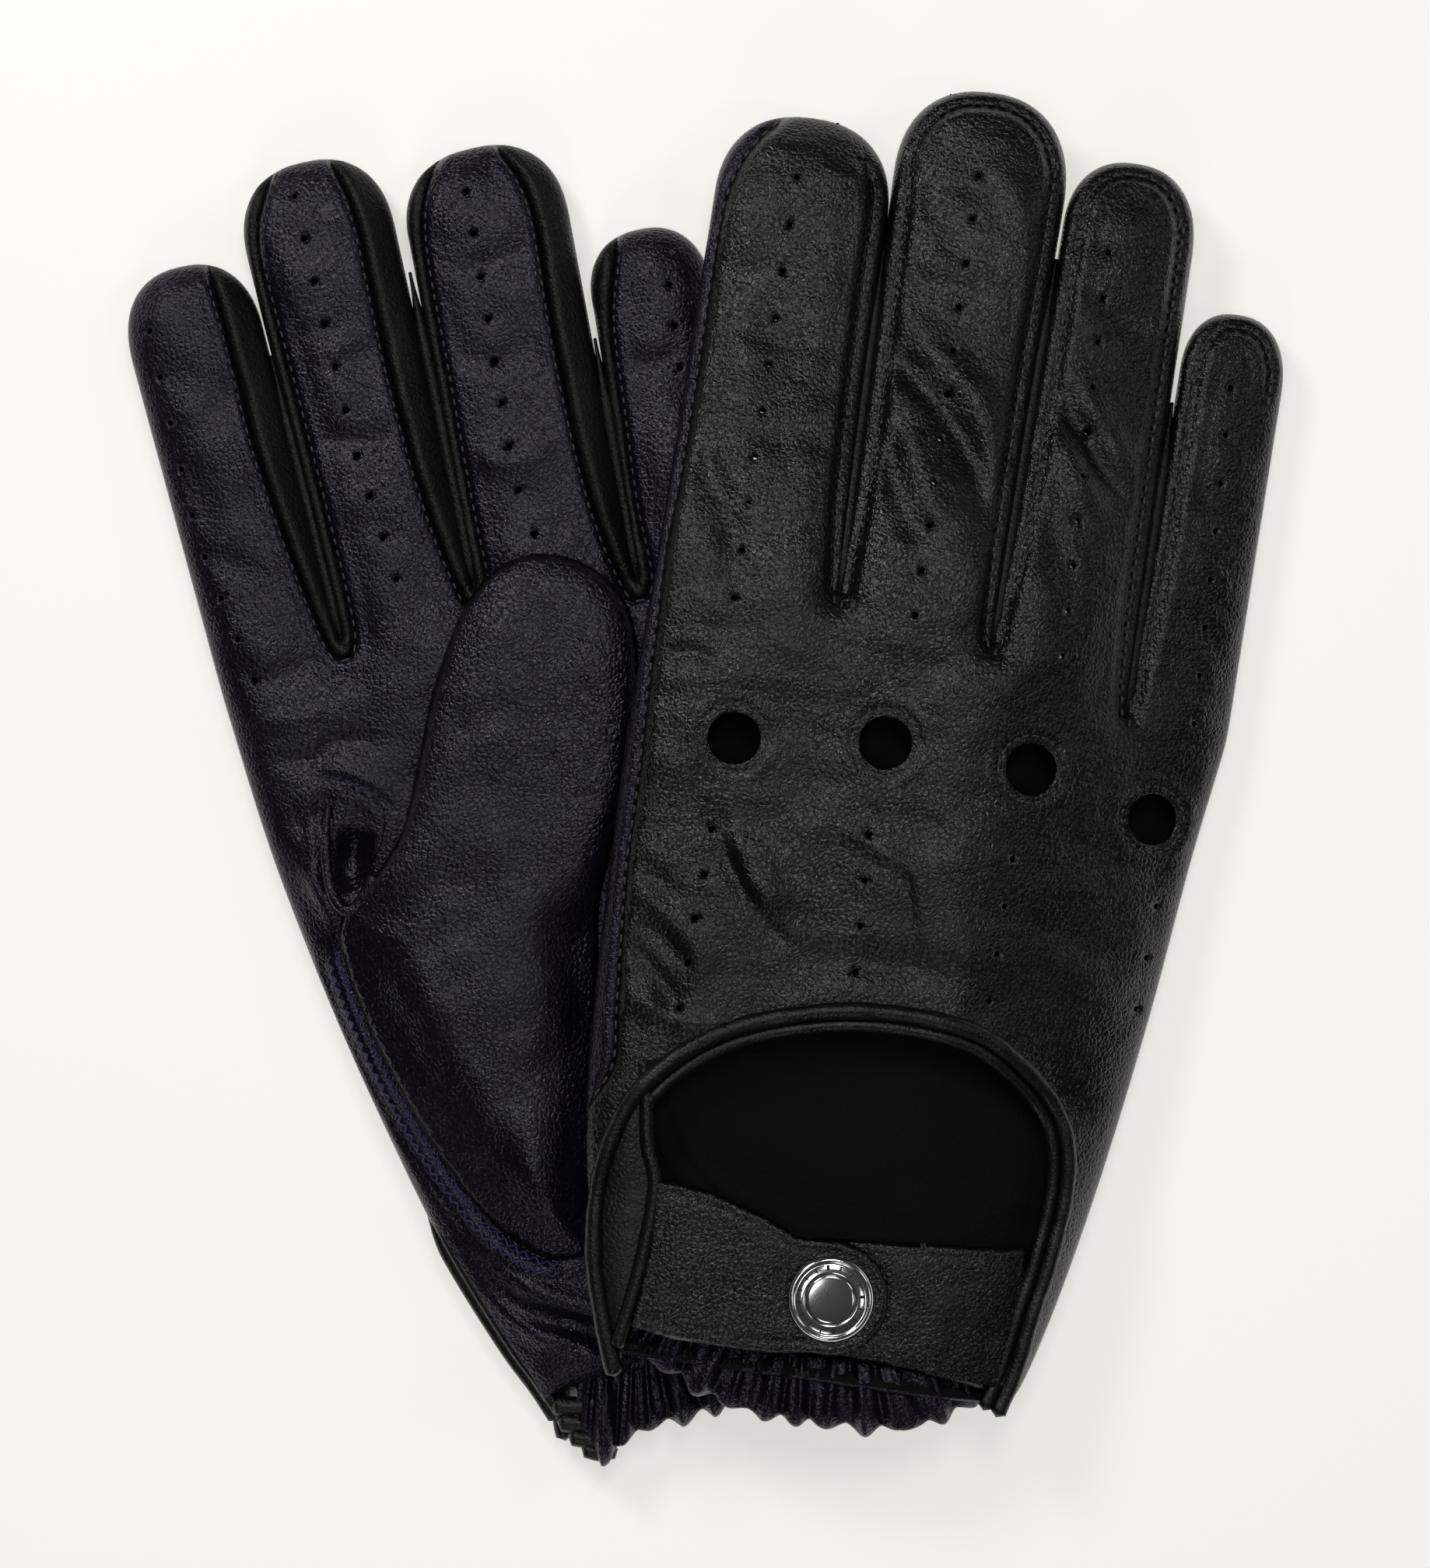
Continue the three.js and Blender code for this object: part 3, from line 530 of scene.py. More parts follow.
def fourchette_cut(g, k, wide, narrow):
    """The seam that bounds a sidewall on the palm's side: down one finger, round the web, up the next."""
    fa, fb = g["fingers"][k], g["fingers"][k + 1]
    w = g["webs"][k]
    ta, tb = (fa[1][0] + fa[1][1]) / 2, (fb[1][0] + fb[1][1]) / 2
    pts = [(ta + 4, fa[2] + 3), (ta + 5.5, fa[2] - 2.5), (fa[1][1] - wide, fa[2] - 14)]
    pts.append((fa[0][1] + (fa[1][1] - fa[0][1]) * 0.5 - wide, (w + fa[2]) / 2))
    pts.append((fa[0][1] - wide * 0.75, w + 16))
    mid = (fa[0][1] + fb[0][0]) / 2
    pts += [(mid - 2.2, w - 0.5), (mid, w - 3.4), (mid + 2.0, w)]
    pts += [(fb[0][0] + narrow, w + 14), (fb[0][0] + (fb[1][0] - fb[0][0]) * 0.5 + narrow, (w + fb[2]) / 2)]
    pts += [(fb[1][0] + narrow, fb[2] - 16), (fb[1][0] + narrow + 3.5, fb[2] - 5), (tb - 3, fb[2] + 3)]
    line = spline(pts, 0.9)
    top = max(fa[2], fb[2]) + 8
    poly = np.vstack([line, [(tb - 3, top), ((fa[1][1] + fb[1][0]) / 2, top + 3), (ta + 4, top)]])
    return line, poly


# ---------------------------------------------------------------- small sewn things
def capsules(name, A, B, r, mat, body, slot=None, sides=6):
    """Stitches: a rounded bar from each A to each B."""
    V, F = [], []
    for a, b in zip(A, B):
        d = b - a
        n = np.linalg.norm(d)
        if n < 1e-7:
            continue
        d = d / n
        x = np.cross(d, (0, 0, 1.0))
        if np.linalg.norm(x) < 1e-3:
            x = np.cross(d, (0, 1.0, 0))
        x /= np.linalg.norm(x)
        y = np.cross(d, x)
        k0 = len(V)
        for t, rr in ((-0.0, 0.0), (0.06, 0.62), (0.22, 1.0), (0.78, 1.0), (0.94, 0.62), (1.0, 0.0)):
            c = a + d * n * t
            if rr == 0:
                V.append(c)
                continue
            for j in range(sides):
                q = 2 * np.pi * j / sides
                V.append(c + (x * np.cos(q) + y * np.sin(q)) * r * rr)
        s = sides
        for j in range(s):
            F.append((k0, k0 + 1 + (j + 1) % s, k0 + 1 + j))
            for m in range(3):
                p = k0 + 1 + m * s
                F.append((p + j, p + (j + 1) % s, p + s + (j + 1) % s, p + s + j))
            F.append((k0 + 1 + 3 * s + j, k0 + 1 + 3 * s + (j + 1) % s, k0 + 1 + 4 * s))
    if not V:
        return None
    return make(name, V, F, [mat], body, slot=slot)


def shifted(L, off):
    """A polyline moved to its left."""
    t = np.gradient(L, axis=0)
    t /= np.linalg.norm(t, axis=1)[:, None]
    return L + np.c_[-t[:, 1], t[:, 0]] * off


def stitch_line(skin, L, pitch=2.3, length=0.68, lift=0.05, offset=0.0, slant=0.0, phase=0.0):
    """End points of stitches along a plan polyline, lying on a skin."""
    L = resample(L, 0.4)
    s = np.r_[0, np.cumsum(np.hypot(*np.diff(L, axis=0).T))]
    t = np.gradient(L, axis=0)
    t /= np.linalg.norm(t, axis=1)[:, None]
    nrm = np.c_[-t[:, 1], t[:, 0]]
    c = np.arange(pitch * (0.5 + phase), s[-1] - pitch / 2, pitch)

    def at(x, o):
        p = np.c_[np.interp(x, s, L[:, 0]), np.interp(x, s, L[:, 1])]
        q = np.c_[np.interp(x, s, nrm[:, 0]), np.interp(x, s, nrm[:, 1])]
        return p + q * (offset + o)

    h = pitch * length / 2
    a, b = at(c - h, -slant), at(c + h, slant)
    ok = inside((a + b) / 2, skin.outline) & (dist((a + b) / 2, skin.outline, True)[0] > 0.9)
    for poly in skin.clip:
        ok &= ~inside((a + b) / 2, poly)
    return skin.lift(a[ok], lift), skin.lift(b[ok], lift)


def tube(name, path, radius, mat, body, slot=None, sides=14, squash=1.0, closed=False):
    """A round cord or rolled edge along 3-D points in metres; radius may vary along it."""
    P = np.asarray(path, float)
    n = len(P)
    r = np.broadcast_to(radius, (n,)) / 1000
    t = np.roll(P, -1, 0) - np.roll(P, 1, 0) if closed else np.gradient(P, axis=0)
    t /= np.linalg.norm(t, axis=1)[:, None]
    V = []
    x = np.cross(t, (0, 0, 1.0))
    x /= np.maximum(np.linalg.norm(x, axis=1), 1e-9)[:, None]
    y = np.cross(x, t)
    a = 2 * np.pi * np.arange(sides) / sides
    for k in range(n):
        V.append(P[k] + r[k] * (np.cos(a)[:, None] * x[k] + squash * np.sin(a)[:, None] * y[k]))
    V = np.vstack(V)
    F = []
    for k in range(n if closed else n - 1):
        for j in range(sides):
            p, q = k * sides, ((k + 1) % n) * sides
            F.append((p + j, q + j, q + (j + 1) % sides, p + (j + 1) % sides))
    if not closed:
        V = np.vstack([V, P[0] - t[0] * r[0] * 0.6, P[-1] + t[-1] * r[-1] * 0.6])
        m = len(V)
        for j in range(sides):
            F.append((m - 2, j, (j + 1) % sides))
            p = (n - 1) * sides
            F.append((m - 1, p + (j + 1) % sides, p + j))
    return make(name, V, F, [mat], body, slot=slot)


def pillow(name, side, outline, bottom, top, mat, body, edge=1.6, step=0.9, holes=(), extra=None, slot=None,
           low_side=False):
    """A flat piece with rounded edges between two heights, each a number or a function of plan points."""
    V, T = triangulate(outline, holes, (), (), step)
    D = dist(V, outline, True)[0]
    for h in holes:
        D = np.minimum(D, dist(V, h, True)[0])
    f = lambda q: q(V) if callable(q) else np.full(len(V), float(q))
    lo, hi = f(bottom), f(top)
    mid = (lo + hi) / 2
    t = np.clip(D / edge, 0, 1)
    prof = np.sqrt(1 - (1 - t) ** 2)
    add = extra(V, D) if extra else 0
    zt = mid + (hi - mid) * prof + (0 if low_side else add * prof)
    zb = mid - (mid - lo) * prof + (add * prof if low_side else 0)
    F = two_faces(T, len(V))
    X = np.vstack([world(side, V, zt), world(side, V, zb)])
    return make(name, *used_only(X, F), [mat], body, slot=slot)


THUMB_LEFT = [(-44.8, 101.4), (-42.7, 102.7), (-38.2, 106.1), (-33.6, 110.2), (-29.7, 115.3),
              (-26.9, 121.3), (-23.8, 128), (-20.8, 134.8), (-17.2, 141.3), (-13, 147.8), (-9.3, 152.2),
              (-5, 155.6), (-0.4, 157.4), (5.5, 157.4), (12.1, 154.4), (17.0, 149.0), (19.2, 141.5)]
THUMB_RIGHT = [(17.6, 130), (12, 113), (5, 100), (0.8, 90), (-2.5, 74), (-6, 58), (-9.5, 42), (-13.6, 31.5)]
THUMB_SEAM = [(-17.5, 29.6), (-23.6, 31.5), (-30.7, 39), (-35.8, 49.1), (-39.5, 58.9), (-42.9, 70.1),
              (-45.1, 79.5), (-46.6, 88.9), (-46.8, 96.5)]


# ---------------------------------------------------------------- one glove
OPENING = [(-39.4, -4), (-42.6, 5), (-45.6, 16), (-46.6, 28), (-45.2, 38.5), (-41.4, 48), (-33.0, 56.8),
           (-21.2, 63.2), (-3, 67.3), (16.6, 66.1), (29.2, 59.0), (36.6, 50.0), (38.6, 38.9), (37.0, 24.7),
           (34.9, 14.6), (33.0, 4), (30.6, -4)]


def opening_line(side):
    P = np.array(OPENING)
    if side == "left":
        P = np.c_[P[:, 0] * 0.84 + 1.6, P[:, 1]]
        index = np.array(GLOVES[side]["index_side"][::-1])
        little = np.array(GLOVES[side]["little_side"])
        P[:, 0] = np.maximum(P[:, 0], np.interp(P[:, 1], index[:, 1], index[:, 0]) + 3.4)
        P[:, 0] = np.minimum(P[:, 0], np.interp(P[:, 1], little[:, 1], little[:, 0]) - 3.4)
    return spline(P, 0.9)


def perforations(side, face):
    if side == "right" or face == "back":
        rows = [((-32.3, 216.2), (-34.6, 138.3), 10), ((0.6, 220.6), (-1.8, 139.1), 11),
                ((25.9, 209.6), (25.7, 135), 10), ((51.8, 188.5), (52.3, 126), 8),
                ((-33.7, 96.4), (-35.6, 63.8), 5), ((-5.4, 98.8), (-4.9, 74), 4),
                ((20.9, 97.4), (19.7, 71.5), 4), ((49.3, 91.8), (47.9, 72.6), 3)]
        if side == "left":
            rows = [((a[0] - 13, a[1] + 4), (b[0] - 10, b[1] + 4), n) for a, b, n in rows[:6]]
        if face == "palm":
            rows = rows[:4]
    else:
        rows = [((-55.9, 214.0), (-56.0, 179.1), 5), ((-55.4, 171), (-51.4, 146.6), 4),
                ((-24.1, 232.2), (-23.8, 191.5), 6), ((-23.7, 183), (-21.6, 159), 4),
                ((7.0, 225.9), (4.2, 178.3), 7), ((4.0, 170), (5.0, 161.4), 2),
                ((39.7, 200.7), (36.6, 170), 5)]
    out = []
    for a, b, n in rows:
        for k in range(n):
            t = k / max(n - 1, 1)
            out.append((a[0] + (b[0] - a[0]) * t, a[1] + (b[1] - a[1]) * t))
    return out


FOLDS = {
    ("right", "back"): [
        ([(-13.5, 192), (-9, 184), (-3, 178.5), (3, 172), (7.5, 163), (10.8, 151)], 2.6, -0.75, "line"),
        ([(-11, 196), (-4, 188), (4, 181), (9, 173), (10.5, 165)], 3.0, 0.65, "line"),
        ([(-13.8, 178), (-10.5, 168), (-6, 158), (0, 149)], 2.8, -0.55, "line"),
        ([(-9, 174), (-3, 165), (1.5, 156)], 2.8, 0.5, "line"),
        ([(-12.5, 222), (-6, 212), (0, 205)], 3.0, -0.35, "line"),
        ([(2, 224), (8, 217), (13, 208)], 2.6, 0.35, "line"),
        ([(17.8, 184), (24, 177), (29, 170), (35.5, 162)], 2.2, -0.8, "line"),
        ([(20, 188), (27, 181), (34, 172), (37.5, 165)], 2.4, 0.5, "line"),
        ([(18.5, 176), (25, 168), (30, 158)], 2.8, 0.55, "line"),
        ([(16.5, 166), (22, 155), (27, 144)], 2.6, -0.45, "line"),
        ([(19, 206), (27, 199), (36, 195)], 2.2, -0.3, "line"),
        ([(43, 172), (50, 168), (57, 163)], 2.4, -0.35, "line"),
        ([(44, 160), (51, 156), (58, 149)], 2.4, 0.3, "line"),
        ([(45, 146), (52, 143), (57, 138)], 2.0, -0.3, "line"),
        ([(-46, 168), (-41, 160), (-36.5, 151), (-34, 139)], 3.0, -0.5, "line"),
        ([(-31.2, 98), (-29.1, 92), (-26.3, 87.3), (-21.3, 82), (-15.5, 77.6)], 1.3, 0.75, "step"),
        ([(-27, 96), (-24, 90), (-18, 84.5)], 2.2, 0.4, "line"),
        ([(-11, 98.4), (-3.9, 95), (2.1, 92.5), (4.3, 87.3), (6.2, 78)], 1.3, 0.45, "step"),
        ([(-46.5, 82), (-39.8, 77.7), (-34.8, 72.4), (-35.5, 66)], 1.9, 0.7, "step"),
        ([(-47, 75), (-42, 71), (-38, 66), (-37, 60)], 1.8, -0.5, "line"),
        ([(-47, 68), (-42, 64), (-34, 61), (-26, 62)], 2.0, 0.45, "line"),
        ([(-48, 90), (-42, 86), (-38, 82)], 2.2, -0.4, "line"),
        ([(-47, 126.5), (-41.4, 127.9), (-36, 126.6)], 0.9, -0.4, "line"),
        ([(-20, 72), (-6, 76), (10, 75), (24, 70)], 3.5, -0.45, "line"),
        ([(24, 84), (36, 78), (48, 76)], 3.0, 0.35, "line"),
        ([(22, 62), (34, 58), (42, 50)], 2.6, -0.35, "line"),
    ],
    ("left", "palm"): [
        ([(-45, 49), (-41.2, 38.5), (-36.1, 28.4), (-27.9, 19.6), (-19.8, 15.7), (-10, 10)], 1.7, -1.2,
         "step"),
        ([(-30, 29), (-20, 21.5), (-9, 18), (0, 17)], 2.6, 1.1, "line"),
        ([(-24, 20), (-14, 12), (-3, 7)], 2.6, -0.8, "line"),
        ([(-22, 12), (-12, 6), (-2, 3)], 2.6, 0.9, "line"),
        ([(-38, 44), (-30, 33), (-20, 27)], 2.0, 0.5, "line"),
        ([(-52, 112), (-48, 104), (-46.5, 96)], 2.2, 0.7, "line"),
        ([(-57, 172), (-50, 168), (-44, 166)], 2.4, -0.3, "line"),
        ([(-56, 150), (-48, 146), (-40, 147), (-33, 142)], 2.4, -0.35, "line"),
        ([(-54, 140), (-46, 138), (-38, 139)], 2.0, 0.3, "line"),
        ([(-53, 132), (-45, 130), (-38, 132), (-30, 130)], 1.8, -0.4, "line"),
        ([(-30, 188), (-22, 185), (-15, 186)], 2.2, -0.3, "line"),
        ([(-30, 205), (-22, 203), (-15, 205)], 2.2, 0.25, "line"),
        ([(-2, 214), (6, 212), (16, 214)], 2.0, -0.3, "line"),
        ([(-3, 197), (6, 194), (15, 197)], 2.2, -0.3, "line"),
        ([(-4, 178), (5, 175), (13, 178)], 2.2, 0.3, "line"),
        ([(27, 190), (34, 187), (40, 190)], 2.0, -0.3, "line"),
        ([(-52, 118), (-46, 120), (-40, 126)], 2.0, -0.5, "line"),
    ],
}


# how much of each finger's seam shows on the back: from its left root (0) over the tip to its right root (1)
FINGER_SEAMS = ((0.55, 1), (0, 1), (0, 1), (0, 0.62))


def closed_ring(centre, radius):
    """A circle whose last point repeats its first."""
    ring = circle(centre, radius)
    return np.vstack([ring, ring[:1]])


def stitches(name, rows, r, mat, body, slot):
    """Several rows of stitches as one piece."""
    starts, ends = zip(*rows)
    capsules(name, np.vstack(starts), np.vstack(ends), r, mat, body, slot)


def sidewall_between(side, k):
    """The sidewall leather deep between two fingers, from the web to where the tips round off."""
    g = GLOVES[side]
    a, b = g["fingers"][k:k + 2]
    web_v = g["webs"][k]
    low_top = min(a[2] - a[3], b[2] - b[3])
    v = np.linspace(web_v - 3, low_top - 5, 60)
    t = (v - web_v) / ((a[2] - a[3] + b[2] - b[3]) / 2 - web_v)
    u = (a[0][1] + b[0][0]) / 2 * (1 - t) + (a[1][1] + b[1][0]) / 2 * t
    P = np.c_[u, v]
    radius = 1.6 * (0.2 + 0.8 * smooth(0, 8, v - v[0]) * smooth(0, 16, v[-1] - v))
    z = base_height(side, u, v) + MID
    name = f"{side}_sidewall_web_{k + 1}"
    tube(name, world(side, P, z), radius, M["side"], side + "_glove", "sidewall_leather", 12, 1.3)


def glove(side):
    g = GLOVES[side]
    body = side + "_glove"
    line = opening_line(side)
    arch = np.vstack([line, [(line[-1][0] + 1, -20), (line[0][0] - 1, -20)]])

    # back of the hand
    back = Skin(side, "back")
    back.clip.append(arch)
    for c in g["knuckles"]:
        back.grooves.append((closed_ring(c, RING), 0.42, 0.42, 0.30))
    for k, (lo, hi) in enumerate(FINGER_SEAMS):
        back.grooves.append((finger_seam(g, k, SEAM_INSET, lo, hi), 0.65, 1.05, 0.35))
    edge = [(-33, 231), (-41, 221.5), (-44.6, 212), (-45.6, 200.7), (-46.0, 183), (-46.8, 161),
            (-48, 146.6), (-48, 132), (-48.1, 117.4), (-47.9, 102.9), (-48.2, 88.3), (-47.5, 73.8),
            (-46.8, 60.8), (-46.4, 52), (-50, 44)]
    if side == "left":
        edge = [(u - 9 if v > 140 else u - 8 + (132 - min(v, 132)) * 0.15, v) for u, v in edge]
    strip = spline(edge, 0.9)
    back.grooves.append((strip, 0.7, 0.8, 0.25))
    back.strokes += [(spline(p, 0.8), w, a, k) for p, w, a, k in FOLDS.get((side, "back"), [])]
    region = np.vstack([strip, [(-70, 44), (-70, 231)]])
    holes = [circle(c, HOLE) for c in g["knuckles"]]
    holes += [circle(c, PERFORATION, 10) for c in perforations(side, "back")]
    parts = [("cut_away", lambda C: inside(C, arch), None, None, None),
             (side + "_palm_side_strip", lambda C: inside(C, region), M["palm"], "palm_leather", None),
             (side + "_back_leather", lambda C: np.ones(len(C), bool), M["back"], "back_leather",
              [side + "_back_panel"])]
    rings = [hand_outline(g, i, 0.9) for i in (0.12, 0.4, 0.85, 1.4)]
    build_skin(back, holes, [line, strip], rings, parts, body)

    # palm
    palm = Skin(side, "palm")
    cuts, polys = [], []
    for k in range(3):
        c, poly = fourchette_cut(g, k, 6.3, 2.3)
        cuts.append(c)
        polys.append(poly)
        palm.grooves.append((c, 0.6, 0.9, 0.4))
        sidewall_between(side, k)
    palm.strokes += [(spline(p, 0.8), w, a, k) for p, w, a, k in FOLDS.get((side, "palm"), [])]
    seam = spline(THUMB_SEAM, 0.8)
    palm.grooves.append((seam, 0.7, 0.9, 0.3))
    palm.grooves.append((shifted(seam, 4.3), 0.5, 0.45, 0.2))
    if side == "left":
        palm.strokes.append((spline([(-38.5, 116), (-41.4, 110.5), (-43.4, 104)], 0.8), 3.0, -2.1, "line"))
        above_crook = spline([(-45.5, 127), (-40, 125), (-35, 121.5), (-31, 116)], 0.8)
        beside_crook = spline([(-44.6, 124), (-45.8, 117), (-46.8, 110), (-47.2, 103)], 0.8)
        palm.grooves += [(above_crook, 0.6, 0.8, 0.5), (beside_crook, 0.6, 0.6, 0.4)]
    holes = [circle(c, PERFORATION, 10) for c in perforations(side, "palm")]
    names = ("index_middle", "middle_ring", "ring_little")
    within = lambda region: lambda C: inside(C, region)
    parts = [(f"{side}_sidewall_{n}", within(p), M["side"], "sidewall_leather", [f"{side}_fourchette_{n}"])
             for n, p in zip(names, polys)]
    parts.append((side + "_palm_leather", lambda C: np.ones(len(C), bool), M["palm"], "palm_leather",
                  [side + "_palm_panel"]))
    build_skin(palm, holes, cuts, rings, parts, body)

    # threads
    rows = [stitch_line(back, finger_seam(g, k, SEAM_INSET, lo, hi), 2.3, 0.62, 0.42, 0.42)
            for k, (lo, hi) in enumerate(FINGER_SEAMS)]
    rows.append(stitch_line(back, strip, 2.6, 0.6, 0.05))
    rows += [stitch_line(back, closed_ring(c, RING), 1.75, 0.62, 0.18) for c in g["knuckles"]]
    stitches(side + "_back_stitches", rows, 0.00026, M["thread"], body, "back_leather")
    rows = [stitch_line(palm, c, 2.2, 0.6, 0.05, offset=-0.9) for c in cuts]
    stitches(side + "_palm_stitches", rows, 0.00022, M["thread"], body, "palm_leather")
    zigzags = ((1.15, 0.55, 0.0), (1.15, -0.55, 0.5), (2.95, 0.55, 0.0), (2.95, -0.55, 0.5))
    rows = [stitch_line(palm, seam[3:-2], 2.1, 0.62, 0.14, *zigzag) for zigzag in zigzags]
    stitches(side + "_thumb_seam_stitches", rows, 0.00024, M["navy"], body, "palm_leather")

    # rings behind the knuckle holes
    for c, n in zip(g["knuckles"], ("index", "middle", "ring", "little")):
        s = 1 if back.up else -1
        top = lambda V: back.z(V) - s * 0.95
        low = lambda V: back.z(V) - s * 1.75
        faces = (low, top) if s > 0 else (top, low)
        ob = pillow(f"{side}_knuckle_ring_{n}", side, circle(c, 7.4), *faces, M["inside"], body, 0.5, 0.9,
                    [circle(c, 4.7)], slot="facing_leather")
        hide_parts(f"{side}_knuckle_facing_{n}")
    return back, palm


def build_skin(skin, holes, cuts, rings, parts, body):
    V, T = triangulate(skin.outline, holes, cuts, rings)
    W = skin.lift(V)
    C = V[T].mean(1)
    if not skin.up:
        T = T[:, ::-1]
    N = vertex_normals(W, T)
    left = np.ones(len(T), bool)
    for name, test, mat, slot, nodes in parts:
        take = left & test(C)
        left &= ~take
        if mat is None or not take.any():
            continue
        X, F, fm = thick(W, T[take], N, SKIN / 1000)
        ob = make(name, X, F, [mat, M["inside"]], body, fm, slot=slot)
        if nodes:
            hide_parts(*nodes)


def at_depth(side, P, depth):
    """Height of a depth behind the palm's face, which is below on the right glove and on top on the left."""
    b = base_height(side, P[:, 0], P[:, 1])
    return b + 10.5 - depth if side == "left" else b + depth


def slab(name, side, outline, d0, d1, mat, slot, edge=1.2, holes=(), extra=None, step=0.9, raise_by=None):
    """A strap-like piece between two depths; extra swells its outer face."""
    lift = raise_by or (lambda P: 0.0)
    near = lambda P: at_depth(side, P, d0 + lift(P))
    far = lambda P: at_depth(side, P, d1 + lift(P))
    flip = side == "left"
    faces = (far, near) if flip else (near, far)
    body = side + ("_strap_part" if name.endswith("_strap_leather") else "_glove")
    return pillow(name, side, resample(outline, 0.8, True), *faces, mat, body, edge, step, holes,
                  (lambda P, D: -extra(P, D)) if flip and extra else extra, slot, flip)


def opening_and_strap(side, back):
    body = side + "_glove"
    s = 1 if side == "right" else -1
    line = opening_line(side)
    line = line[inside(line, np.array([(-90, -3.2), (90, -3.2), (90, 90), (-90, 90)]))]
    t = np.gradient(line, axis=0)
    t /= np.linalg.norm(t, axis=1)[:, None]
    inward = np.c_[t[:, 1], -t[:, 0]]

    def rim(off, drop):
        P = line + inward * off
        h = np.maximum(back.height(line), 3.4)
        z = base_height(side, P[:, 0], P[:, 1]) + MID + s * (h - drop)
        return world(side, P, z)

    wob = 1 + 0.04 * np.sin(np.arange(len(line)) * 0.31) + 0.03 * np.sin(np.arange(len(line)) * 0.83)
    ob = tube(side + "_opening_piping", rim(0.15, 0.25), 1.62 * wob, M["binding"], body, "binding_leather")
    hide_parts(side + "_opening_binding")
    keep = (line[:, 0] > (-37.5 if side == "right" else 0)) | (line[:, 1] > 46)
    tube(side + "_opening_facing_roll", rim(2.8, 1.2)[keep], 1.3, M["binding"], body, "binding_leather")

    # the flap the strap springs from
    B = spline([(-41.0, 53.5), (-39.6, 46.4), (-38.4, 38.4), (-36.2, 31.5), (-36.8, 19.7), (-38.0, 10.8),
                (-39.6, 2.0)], 0.8)
    if side == "left":
        B = np.c_[B[:, 0] * 0.78 + 7.6, B[:, 1] + 3]
    A = line[(line[:, 0] < 0) & (line[:, 1] < 55)]
    A = A[np.linspace(0, len(A) - 1, len(B)).astype(int)][::-1] + (0.3, 0)
    n = 9
    V, F = [], []
    for q in np.linspace(0, 1, n):
        P = A * (1 - q) + B * q
        h0 = base_height(side, A[:, 0], A[:, 1]) + MID + s * (np.maximum(back.height(A), 3.4) - 0.6)
        h1 = at_depth(side, B, 9.3)
        z = h0 * (1 - q) + h1 * q + s * 0.6 * np.sin(np.pi * q) * smooth(0, 9, np.abs(B - A)[:, 0] + 3)
        V.append(world(side, P, z))
    m = len(B)
    V = np.vstack(V)
    for i in range(n - 1):
        for j in range(m - 1):
            a, b, c, d = i * m + j, i * m + j + 1, (i + 1) * m + j + 1, (i + 1) * m + j
            F += [(a, b, c), (a, c, d)]
    F = np.array(F)
    N = vertex_normals(V, F)
    if N[:, 2].mean() * s < 0:
        F, N = F[:, ::-1], -N
    X, F, fm = thick(V, F, N, 0.0011)
    make(side + "_strap_flap", X, F, [M["binding"], M["inside"]], body, fm, slot="binding_leather")
    z = at_depth(side, B, 9.5)
    tube(side + "_strap_flap_roll", world(side, B, z), 1.35, M["binding"], body, "binding_leather")

    # strap, tab and snap
    a = np.radians(np.linspace(-100, 100, 30))
    arc = np.c_[SNAP[0] + 10.4 * np.cos(a), SNAP[1] + 10.4 * np.sin(a)]
    root = np.array([(-37.0, 33.0), (-36.2, 25), (-36.4, 18), (-37.2, 11), (-38.0, 5.8)])
    top = np.array([(-9, 25.2), (-16, 28.4), (-26, 31.6)])
    bottom = np.array([(-30, 4.3), (-16.4, 3.8), (-11, 3.9), (-7, 4.4)])
    if side == "left":
        root = np.c_[root[:, 0] * 0.84 + 2.6, root[:, 1]]
    poly = np.vstack([arc, top, root, bottom])

    def fold(P, D):
        """The strap's wrinkles, the groove inside its edge and the dent that the snap presses in."""
        wrinkle = (0.30 * noise(P, 13, 31) + 0.12 * noise(P, 5, 33)) * smooth(1.5, 6, D)
        from_snap = np.hypot(P[:, 0] - SNAP[0], P[:, 1] - SNAP[1])
        return wrinkle - 0.34 * np.exp(-((D - 2.1) / 0.42) ** 2) - 0.55 * np.exp(-(from_snap / 9.5) ** 4)

    name = side + "_strap_leather"
    ob = slab(name, side, poly, 9.1, 10.75, M["back"], "back_leather", 1.25, (), fold, 0.8)
    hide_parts(side + "_strap")
    tab = np.array([(-7, 4.6), (10, 3.2), (31.0, 0.6), (33.6, 1.5), (34.2, 8), (34.0, 14), (32.8, 27.2),
                    (20, 26.6), (2.6, 25.6), (-7, 25.0)])
    if side == "left":
        tab = np.c_[np.where(tab[:, 0] > 20, tab[:, 0] - 3.2, tab[:, 0]), tab[:, 1]]

    def swell(P, D):
        """The tab's wrinkles and the groove inside its edge."""
        wrinkle = (0.35 * noise(P, 12, 41) + 0.15 * noise(P, 5, 43)) * smooth(1.5, 5, D)
        return wrinkle - 0.28 * np.exp(-((D - 2.0) / 0.4) ** 2)

    climb = lambda P: 3.2 * smooth(12, 33, P[:, 0])
    name = side + "_tab_leather"
    ob = slab(name, side, tab, 4.3, 5.9, M["back"], "back_leather", 1.2, (), swell, 0.9, climb)
    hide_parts(side + "_strap_tab")
    snap(side)


